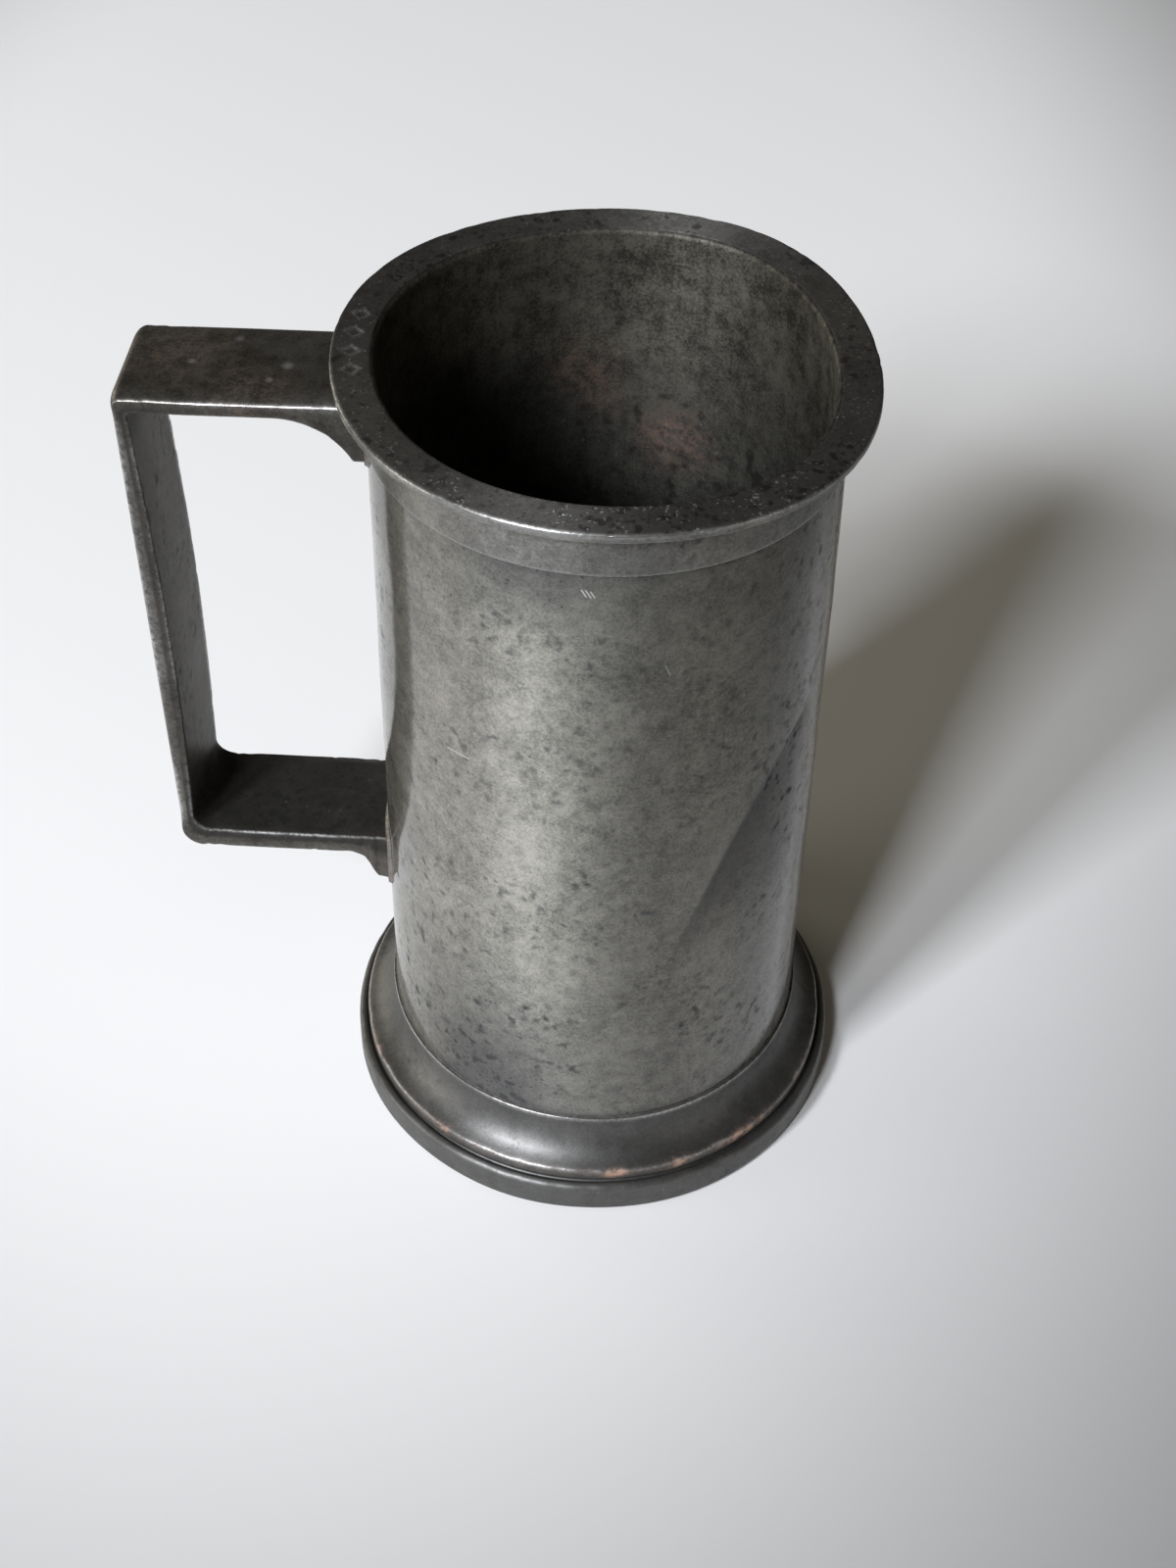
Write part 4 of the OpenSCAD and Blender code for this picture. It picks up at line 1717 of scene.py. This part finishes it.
@dataclass
class StrapHandle:
    """Cast handle: two arms and a swelled grip of one strap section, with roots coped to drum and collar."""

    vessel: Vessel = VESSEL
    finish: Pewter = HANDLE
    strap_w: float = 25.0
    reach: float = 46.99
    upper_drop: float = 8.8
    drop: float = 120.2
    arm_rise: float = 3.0
    grip_lean: float = 1.3
    upper_arm_t: float = 3.8
    lower_arm_t: float = 5.5
    grip_t: float = 3.2
    grip_swell: float = 1.5
    upper_corner: float = 2.2
    lower_corner: float = 4.5
    upper_inner_round: float = 1.0
    lower_inner_round: float = 4.0
    upper_root_spread: float = 6.4
    lower_root_spread: float = 4.7
    upper_tail: float = 9.1
    lower_tail: float = 7.3
    tail_t: float = 1.3
    upper_root_round: float = 18.0
    lower_root_round: float = 4.5
    shoulder_w: float = 4.3
    shoulder_t: float = 1.2
    inner_edge: float = 0.8
    collar_reach: float = 0.7
    collar_step: float = 0.1
    bed_inset: float = 0.05
    slack: float = 0.006
    edge_w: float = 2.0
    edge_wear: float = 0.1
    step: float = 0.7
    tip_steps: int = 6
    root_steps: int = 24
    bend_steps: int = 10
    grip_rows: int = 40
    round_points: int = 15
    flat_points: int = 9
    side_points: int = 5
    sway: Ripple = Ripple(seed=14, shortest=14.0, longest=55.0)
    sway_depth: float = 0.10
    nicks: Nicks = Nicks(seed=31, count=70, narrowest=0.4, widest=1.5, deepest=0.22)
    outer_line: Line = Line(0.45, 0.6)
    outer_line_at: Span = (0.15, 0.7)
    outer_line_arm: float = 0.8
    inner_line: Line = Line(0.4, 0.45)
    inner_line_in: float = 0.2
    inner_line_arm: float = 0.5
    # Painted reflection of the pale table along the grip's far inner edge
    far_reflection: Line = Line(1.1, 1.4)
    far_reflection_in: float = 0.3
    patch_base: float = 0.7
    patch_swing: float = 0.5
    patch_scale: float = 3.0
    inside_from: float = 0.6
    arm_up: Span = (12.0, 6.0)
    upright_down: Span = (4.0, 8.0)
    side_span: Span = (1.0, 0.2)
    side_wear: float = 0.16
    shoulder_in: float = 1.6
    shoulder_wear: float = 0.1
    # Painted shade on the inner faces: all over, deeper towards the near side and in the corners under the
    # arms; and darkening on the lower arm
    near_span: Span = (2.0, -11.0)
    near_shade: float = 0.25
    inner_shade: float = 0.25
    arm_darkening: float = 0.75
    upper_darkening: Line = Line(6.0, 0.5)
    lower_darkening: Line = Line(9.0, 0.4)

    def __post_init__(self) -> None:
        """Work out the corners of the strap's outline, as distance from the axis and height."""
        self.rise, self.lean = np.tan(np.radians([self.arm_rise, self.grip_lean]))
        v = self.vessel
        self.half_w = self.strap_w / 2.0
        self.top = np.array([v.drum_r + self.reach, v.height - self.upper_drop])
        self.bottom = self.top - self.drop * np.array([self.lean, 1.0])
        self.upper_r, self.lower_r = v.drum_r + self.upper_root_spread, v.drum_r + self.lower_root_spread
        self.upper_knee = np.array([self.upper_r, self.upper_face(self.upper_r) - self.upper_arm_t])
        self.lower_knee = np.array([self.lower_r, self.lower_face(self.lower_r)])
        self.bed_r = v.drum_r + v.solder_t
        self.start_r = np.sqrt(self.bed_r**2 - self.half_w**2) - self.bed_inset

    def upper_face(self, r: Array) -> Array:
        """Height of the upper arm's top face at a distance from the axis."""
        return self.top[1] + (self.top[0] - r) * self.rise

    def lower_face(self, r: Array) -> Array:
        """Height of the lower arm's underside at a distance from the axis."""
        return self.bottom[1] + (self.bottom[0] - r) * self.rise

    def tail_heights(self) -> Span:
        """Heights of the tips of the upper and the lower tail."""
        return self.upper_knee[1] - self.upper_tail, self.lower_knee[1] - self.lower_tail

    def root(self, knee: Array, tail_z: float, bend: float, arm: Array) -> Array:
        """Underside of a root from inside the bed to the arm: tail, bend, arm.

        Args:
            knee: Corner between the tail and the arm.
            tail_z: Height of the tail's tip.
            bend: Rounding of the knee.
            arm: Point further out on the arm.

        Returns:
            Points as distance from the axis and height.
        """
        tip = np.array([self.vessel.drum_r + self.tail_t, tail_z])
        inside = np.array([self.start_r, tail_z])
        tail = fillet(inside, tip, knee, self.tail_t / 2.0, self.tip_steps)
        return np.vstack([inside, tail, fillet(tip, knee, arm, bend, self.root_steps)])

    def grip_thickness(self, z: Array) -> Array:
        """Thickness of the grip at a height: a half sine of swelling between the arms.

        Args:
            z: Heights.

        Returns:
            Thickness at each height.
        """
        low = self.bottom[1] + self.lower_arm_t
        share = (z - low) / (self.top[1] - self.upper_arm_t - low)
        return self.grip_t + self.grip_swell * np.maximum(0.0, np.sin(np.pi * share))

    def grip_out(self, z: Array) -> Array:
        """Distance of the grip's outer face from the axis at a height."""
        return self.top[0] - (self.top[1] - z) * self.lean

    def outline(self) -> tuple[Array, Array]:
        """Outer and inner line of the strap from the upper root round to the lower one.

        Returns:
            Two lines with as many points, so that the pairs give the strap's thickness.
        """
        upper_r, lower_r = self.top[0] - self.grip_t, self.bottom[0] - self.grip_t
        upper_end = np.array([upper_r, self.upper_face(upper_r) - self.upper_arm_t])
        lower_end = np.array([lower_r, self.lower_face(lower_r)])
        tails = self.tail_heights()
        upper = self.root(self.upper_knee, tails[0], self.upper_root_round, upper_end)
        lower = self.root(self.lower_knee, tails[1], self.lower_root_round, lower_end)[::-1]
        low = self.bottom[1] + self.lower_arm_t
        z = np.linspace(upper_end[1] - self.upper_corner, low + self.lower_corner, self.grip_rows)
        grip_out = np.stack([self.grip_out(z), z], axis=-1)
        grip_in = grip_out - np.stack([self.grip_thickness(z), 0.0 * z], axis=-1)
        middle = grip_in[len(z) // 2]
        upper_thick = np.array([0.0, self.upper_arm_t])
        lower_thick = np.array([0.0, self.lower_arm_t])
        outer = [
            np.stack([upper[:, 0], self.upper_face(upper[:, 0])], axis=-1),
            fillet(self.upper_knee + upper_thick, self.top, self.bottom, self.upper_corner, self.bend_steps),
            grip_out,
            fillet(self.top, self.bottom, self.lower_knee, self.lower_corner, self.bend_steps),
            lower,
        ]
        in_top = np.array([self.grip_out(upper_end[1]) - self.grip_t, upper_end[1]])
        in_low = np.array([self.grip_out(low) - self.grip_t, self.lower_face(lower_r) + self.lower_arm_t])
        arm = self.lower_knee + lower_thick
        inner = [
            upper,
            fillet(self.upper_knee, in_top, middle, self.upper_inner_round, self.bend_steps),
            grip_in,
            fillet(middle, in_low, arm, self.lower_inner_round, self.bend_steps),
            np.stack([lower[:, 0], self.lower_face(lower[:, 0]) + self.lower_arm_t], axis=-1),
        ]
        both = subdivided(np.hstack([np.vstack(outer), np.vstack(inner)]), self.step)
        return both[:, :2], both[:, 2:]

    def section(self) -> tuple[Array, Array, Array]:
        """Strap's section, a flat with elliptic shoulders outside and small round edges inside.

        Returns:
            Place across the strap, fixed depth below the outer face, and share of the strap's thickness,
            from the middle out to one side, back along the inner face and round the other side.
        """
        half, shoulder, edge = self.half_w, self.shoulder_t, self.inner_edge
        t = np.radians(np.linspace(0.0, 90.0, self.round_points))
        flat = np.linspace(0.0, half - self.shoulder_w, self.flat_points)[:-1]
        inner_flat = np.linspace(half - edge, 0.0, self.flat_points)[1:]
        side = np.linspace(0.0, 1.0, self.side_points)[1:-1]
        y = [flat, half - self.shoulder_w * (1.0 - np.sin(t)), half + 0.0 * side]
        y += [half - edge * (1.0 - np.cos(t)), inner_flat]
        fixed = [0.0 * flat, shoulder * (1.0 - np.cos(t)), shoulder - side * (edge + shoulder)]
        fixed += [-edge * (1.0 - np.sin(t)), 0.0 * inner_flat]
        share = [0.0 * flat, 0.0 * t, side, 1.0 + 0.0 * t, 1.0 + 0.0 * inner_flat]
        y, fixed, share = (np.concatenate(run) for run in (y, fixed, share))
        other = slice(-2, 0, -1)
        return tuple(
            np.concatenate([run, sign * run[other]]) for run, sign in ((y, -1.0), (fixed, 1.0), (share, 1.0))
        )

    def bed_radius(self, z: Array) -> Array:
        """Distance of the solder's outer face from the axis: along the drum, then along the collar."""
        step_z = self.vessel.rim_z - self.vessel.solder_t
        return self.bed_r + self.collar_reach * eased(z - step_z, -self.collar_step, self.collar_step)

    def shell(self) -> Shell:
        """Carry the section along the outline; what would lie inside the solder bed is laid on its face.

        Returns:
            Closed surface of the casting.
        """
        outer, inner = self.outline()
        y, fixed, share = self.section()
        thick = np.linalg.norm(inner - outer, axis=-1)[:, None]
        along = np.concatenate([[0.0], np.cumsum(np.linalg.norm(np.diff(outer, axis=0), axis=-1))])[:, None]
        edge = eased(np.abs(y), self.half_w - self.edge_w, self.half_w)[None]
        side = np.sign(y)[None] * along.max() + along
        nick = self.nicks.depth(side, 2.0 * along.max()) * edge
        depth = fixed / thick + share
        depth = depth + nick * (0.5 - depth) / thick
        flow = outer[:, None, :] + (inner - outer)[:, None, :] * depth[..., None]
        sway = self.sway_depth * self.sway.at(full(along, y[None]), full(y[None], along))
        across = (y * (1.0 - self.slack))[None] - np.sign(y)[None] * edge * (self.edge_wear + sway + nick)
        r, z = flow[..., 0], flow[..., 1]
        bed = np.sqrt(self.bed_radius(z) ** 2 - across**2)
        points = np.stack([-np.maximum(r, bed), across, z], axis=-1)
        rows, cols = r.shape
        caps, triangles = self.end_faces(rows, cols)
        masks = self.masks(along, y[None], depth, thick, r, z)
        quads = np.vstack([grid_faces(rows, cols, False, True), caps])
        shell = Shell(points.reshape(-1, 3), quads, triangles)
        shell.masks = {mask: np.broadcast_to(m, r.shape).ravel() for mask, m in masks.items()}
        return shell

    def end_faces(self, rows: int, cols: int) -> tuple[Array, Array]:
        """Close both ends of the strap: quads between the section's two sides, a triangle at each middle.

        Args:
            rows: Number of sections.
            cols: Number of points in a section.

        Returns:
            Numbers of the points of the quads and of the triangles.
        """
        half, last = cols // 2, (rows - 1) * cols
        j = np.arange(1, half)
        left = np.stack([j, (cols - j) % cols], axis=-1)
        first = np.hstack([left[:-1], left[1:, ::-1]])
        ends = np.array([[0, 1, cols - 1], [half, half + 1, half - 1]])
        return np.vstack([first[:, ::-1], first + last]), np.vstack([ends, ends[:, ::-1] + last])

    def masks(self, along: Array, y: Array, depth: Array, thick: Array, r: Array, z: Array) -> Masks:
        """Bright worn lines where the shoulders and the inner edges end, a painted reflection along the
        grip's far inner edge, and painted shade on the inner faces, deeper at the near side and in the
        corners under the arms, with darkening on the lower arm.

        Args:
            along: Distances along the strap, a column.
            y: Places across the strap, a row.
            depth: Share of the thickness below the outer face, over the grid.
            thick: Thickness of the strap, a column.
            r: Distances from the axis, over the grid.
            z: Heights, over the grid.

        Returns:
            Shares of bared metal with painted reflection, and of painted shade and darkening, over the grid.
        """
        from_side, below = self.half_w - np.abs(y), depth * thick
        above = below - thick
        side_in, shoulder_share = self.outer_line_at
        outer_line = self.outer_line.at(from_side, below, (side_in, self.shoulder_t * shoulder_share))
        inner_line = self.inner_line.at(from_side, above, (self.inner_line_in, -self.inner_line_in))
        # painted reflection along the grip's far inner edge
        far_reflection = self.far_reflection.at(self.half_w - y, above, (self.far_reflection_in, 0.0))
        patchy = self.patch_base + self.patch_swing * self.sway.at(along, full(self.patch_scale * y, along))
        inside = depth > self.inside_from
        arm = eased(z - self.bottom[1], *self.arm_up)
        upright = (1.0 - arm) * eased(self.top[1] - z, *self.upright_down)
        side = eased(from_side, *self.side_span) * (1.0 - inside) * upright
        shoulder = bell(from_side - self.shoulder_in, self.shoulder_in) * (depth < 0.5)
        near = upright * eased(y, *self.near_span)
        upper_at = (self.top[0] - self.grip_t, self.top[1] - self.upper_arm_t)
        lower_at = (self.bottom[0] - self.grip_t, self.bottom[1] + self.lower_arm_t)
        # painted shade on the inner faces, deeper near the front and in the inner corners, and darkening on
        # the lower arm
        grime = self.inner_shade + self.near_shade * near + self.arm_darkening * arm
        grime = grime + self.upper_darkening.at(r, z, upper_at) + self.lower_darkening.at(r, z, lower_at)
        wear = outer_line * (1.0 - self.outer_line_arm * arm)
        wear = wear + inner_line * (1.0 - self.inner_line_arm * arm) + far_reflection * upright
        wear = wear + self.side_wear * side + self.shoulder_wear * shoulder
        return {Mask.WEAR_AND_HIGHLIGHT: wear * patchy, Mask.GRIME_AND_SHADE: inside * grime}

    def build(self) -> list[bpy.types.Object]:
        """Make the casting and the two wiped seams behind its roots.

        Returns:
            The casting and the seams.
        """
        casting = add_piece(self.shell(), "strap_handle", ["handle"])
        casting.data.materials.append(self.finish.material())
        v, (upper, lower) = self.vessel, self.tail_heights()
        seams = [
            RootSeam(self, "upper", upper, self.upper_face(v.drum_r + self.collar_reach)),
            RootSeam(self, "lower", lower, self.lower_face(v.drum_r) + self.lower_arm_t),
        ]
        solder = SOLDER.material()
        return [casting, *(seam.build(solder) for seam in seams)]


@dataclass
class RootSeam:
    """Solder behind a root of the handle: a bed on the drum that swells to a wiped bead all round."""

    handle: StrapHandle
    place: str
    low: float
    high: float
    bead: float = 0.7
    bead_rise: float = 0.15
    bead_hollow: float = 1.6
    bed_t: float = 0.25
    end_points: int = 7
    bed_points: int = 24
    end_w: float = 0.3
    side_gap: float = 1.0
    tip_gap: float = 0.8
    stain: float = 0.07
    stain_w: float = 1.2
    wear: float = 0.12

    def stations(self, low: float, high: float, gap: float) -> Array:
        """Places across the bed: close together over the bead at its ends, and wider between.

        Args:
            low: Lower end of the root.
            high: Upper end of the root.
            gap: Distance from the ends at which the wide places begin.

        Returns:
            Places in order.
        """
        return np.concatenate([
            np.linspace(low - self.bead, low + self.end_w, self.end_points),
            np.linspace(low + gap, high - gap, self.bed_points),
            np.linspace(high - self.end_w, high + self.bead, self.end_points),
        ])

    def shell(self) -> Shell:
        """Outer sheet over the bed and bead, inner sheet on the drum and collar, and a wall between them.

        Returns:
            Closed surface with its masks.
        """
        half, bed_r = self.handle.half_w, self.handle.bed_r
        places = self.stations(-half, half, self.side_gap), self.stations(self.low, self.high, self.tip_gap)
        y, z = np.meshgrid(*places)
        over = np.maximum(np.maximum(self.low - z, z - self.high), 0.0)
        away = np.hypot(np.maximum(np.abs(y) - half, 0.0), over)
        bead = (self.bead + self.bead_rise) * np.clip(1.0 - away / self.bead, 0.0, 1.0) ** self.bead_hollow
        out = np.where(away > SAME_PLACE, bead, self.bed_t)
        skin = self.handle.bed_radius(z) - self.handle.vessel.solder_t
        angle = np.pi + np.arcsin(y / bed_r)
        sheets = [
            np.stack([r * np.cos(angle), r * np.sin(angle), z], axis=-1).reshape(-1, 3)
            for r in (skin + out, skin)
        ]
        rows, cols = y.shape
        grid, count = grid_faces(rows, cols, False, False), rows * cols
        right, left = np.arange(1, rows) * cols + cols - 1, np.arange(rows - 2, 0, -1) * cols
        top = (rows - 1) * cols + np.arange(cols - 2, -1, -1)
        ring = np.concatenate([np.arange(cols), right, top, left])
        after = np.roll(ring, -1)
        wall = np.stack([ring, ring + count, after + count, after], axis=-1)
        stain = self.stain * bell(np.abs(y) - half, self.stain_w)
        masks = {Mask.COPPER: np.tile(stain.ravel(), 2), Mask.WEAR_AND_HIGHLIGHT: np.full(2 * count, self.wear)}
        return Shell(np.vstack(sheets), np.vstack([grid, grid[:, ::-1] + count, wall]), masks=masks)

    def build(self, solder: bpy.types.Material) -> bpy.types.Object:
        """Make the seam and dress it in solder.

        Args:
            solder: Finish that both seams share.

        Returns:
            The new object.
        """
        nodes = [f"{self.place}_handle_solder"]
        seam = add_piece(self.shell(), f"{self.place}_root_seam", nodes)
        seam.data.materials.append(solder)
        return seam


@dataclass(frozen=True)
class Lamp:
    """A soft rectangular lamp that faces the measure; its distance and size are in metres."""

    name: str
    azimuth: float
    elevation: float
    distance: float
    width: float
    tall: float
    power: float
    colour: Colour = (1.0, 1.0, 1.0)

    def build(self, aim: Vector) -> None:
        """Add the lamp, turned towards a point.

        Args:
            aim: Point that it faces, in metres.
        """
        lamp = bpy.data.lights.new(self.name, "AREA")
        lamp.shape = "RECTANGLE"
        lamp.size, lamp.size_y = self.width, self.tall
        lamp.energy = self.power
        lamp.color = self.colour
        thing = bpy.data.objects.new(self.name, lamp)
        e = np.radians(self.elevation)
        x, y, _ = on_axis_circle(self.azimuth, self.distance * np.cos(e), 0.0)
        thing.location = aim + Vector((x, y, self.distance * np.sin(e)))
        thing.rotation_euler = (aim - thing.location).to_track_quat("-Z", "Y").to_euler()
        bpy.context.scene.collection.objects.link(thing)


@dataclass
class Studio:
    """Plain pale table with a painted pool of light that darkens it to the right, a warm room of low light
    and daylight from the front left.
    """

    floor_half: float = 20.0
    floor_z: float = -2e-4
    floor_rough: float = 0.6
    floor_gloss: float = 0.2
    # Painted light on the table: its colour falls off from a lit place, standing for the window's light
    # falling off
    lit_colour: Colour = (0.878, 0.873, 0.865)
    unlit_colour: Colour = (0.22, 0.22, 0.217)
    light_centre: Point = (-80.0, 284.0, 0.0)
    stretch: Point = (1.0, 0.6, 1.0)
    light_falloff: Span = (160.0, 376.0)
    room_colour: Colour = (0.057, 0.051, 0.037)
    aim: Vector = field(default_factory=lambda: Vector((0.0, 0.0, 0.09)))
    lamps: tuple[Lamp, ...] = (
        Lamp("left_pane", -127.0, 40.0, 3.0, 0.42, 0.63, 76.0, (0.965, 0.995, 1.06)),
        Lamp("right_pane", -111.0, 40.0, 3.0, 0.42, 0.63, 51.0, (0.965, 0.995, 1.06)),
        Lamp("pale_wall", 150.0, 10.0, 3.0, 1.39, 0.95, 16.0, (1.06, 1.0, 0.85)),
        Lamp("right_wall", -36.0, 10.0, 3.0, 1.39, 0.95, 5.0, (1.04, 1.0, 0.9)),
        Lamp("side_wall", -165.0, 10.0, 3.0, 1.39, 0.95, 23.0, (1.03, 1.0, 0.92)),
    )

    def build(self) -> None:
        """Add the table, the lamps and the room's light."""
        self.table()
        for lamp in self.lamps:
            lamp.build(self.aim)
        world = bpy.data.worlds.new("room")
        world.use_nodes = True
        world.node_tree.nodes["Background"].inputs["Color"].default_value = (*self.room_colour, 1.0)
        bpy.context.scene.world = world
        bpy.context.scene.view_settings.view_transform = "Standard"

    def table(self) -> None:
        """Add the table, one large square just below the foot, its colour painted with light that falls off
        away from a lit place.
        """
        h, z = self.floor_half, self.floor_z
        mesh = bpy.data.meshes.new("table")
        mesh.from_pydata([(-h, -h, z), (h, -h, z), (h, h, z), (-h, h, z)], [], [(0, 1, 2, 3)])
        table = bpy.data.objects.new("table", mesh)
        bpy.context.scene.collection.objects.link(table)
        g = Graph("pale_table_painted_light")
        away = g.vector("SUBTRACT", g.place, self.light_centre)
        away = g.vector("LENGTH", g.vector("MULTIPLY", away, self.stretch))
        # painted pool of light: the table's colour falls off away from the lit place
        painted_light = g.blend(away.eased(*self.light_falloff), self.lit_colour, self.unlit_colour)
        gloss = {"Roughness": self.floor_rough, "Specular IOR Level": self.floor_gloss}
        g.surface({"Base Color": painted_light, **gloss})
        mesh.materials.append(g.material)


@dataclass
class Viewpoint:
    """Camera at the photograph's angle: where it looks, from how far, and how it is held."""

    aim_height: float = 81.92
    distance: float = 544.14
    elevation: float = 44.96
    azimuth: float = 4.91
    yaw: float = 0.24
    pitch: float = -0.23
    roll: float = -1.53
    lens: float = 58.5
    clip: Span = (0.01, 20.0)

    def build(self) -> None:
        """Add the camera: turned about the aim, then by its yaw, pitch and roll."""
        aim = Vector((0.0, 0.0, self.aim_height))
        e = np.radians(self.elevation)
        x, y, _ = on_axis_circle(self.azimuth - 90.0, self.distance * np.cos(e), 0.0)
        eye = aim + Vector((x, y, self.distance * np.sin(e)))
        ahead = (aim - eye).normalized()
        right = ahead.cross(Vector((0.0, 0.0, 1.0))).normalized()
        up = right.cross(ahead)
        for angle, axis in ((self.yaw, 1), (self.pitch, 0), (self.roll, 2)):
            spin = Matrix.Rotation(np.radians(angle), 3, (right, up, ahead)[axis])
            right, up, ahead = spin @ right, spin @ up, spin @ ahead
        data = bpy.data.cameras.new("viewpoint")
        data.lens = self.lens
        data.clip_start, data.clip_end = self.clip
        camera = bpy.data.objects.new("viewpoint", data)
        turn = Matrix((right, up, -ahead)).transposed()
        camera.matrix_world = Matrix.Translation(eye * MM) @ turn.to_4x4()
        bpy.context.scene.collection.objects.link(camera)
        bpy.context.scene.camera = camera


def main() -> None:
    """Build the measure piece by piece, then its table, light and camera."""
    logging.basicConfig(level=logging.INFO, format="%(name)s: %(message)s")
    foot = MouldedFoot()
    for piece in (Drum(), MouthRim(), FloorPlate(), foot, *RingSeams(foot).pieces()):
        piece.build()
    StrapHandle().build()
    Studio().build()
    Viewpoint().build()


if __name__ == "__main__":
    main()
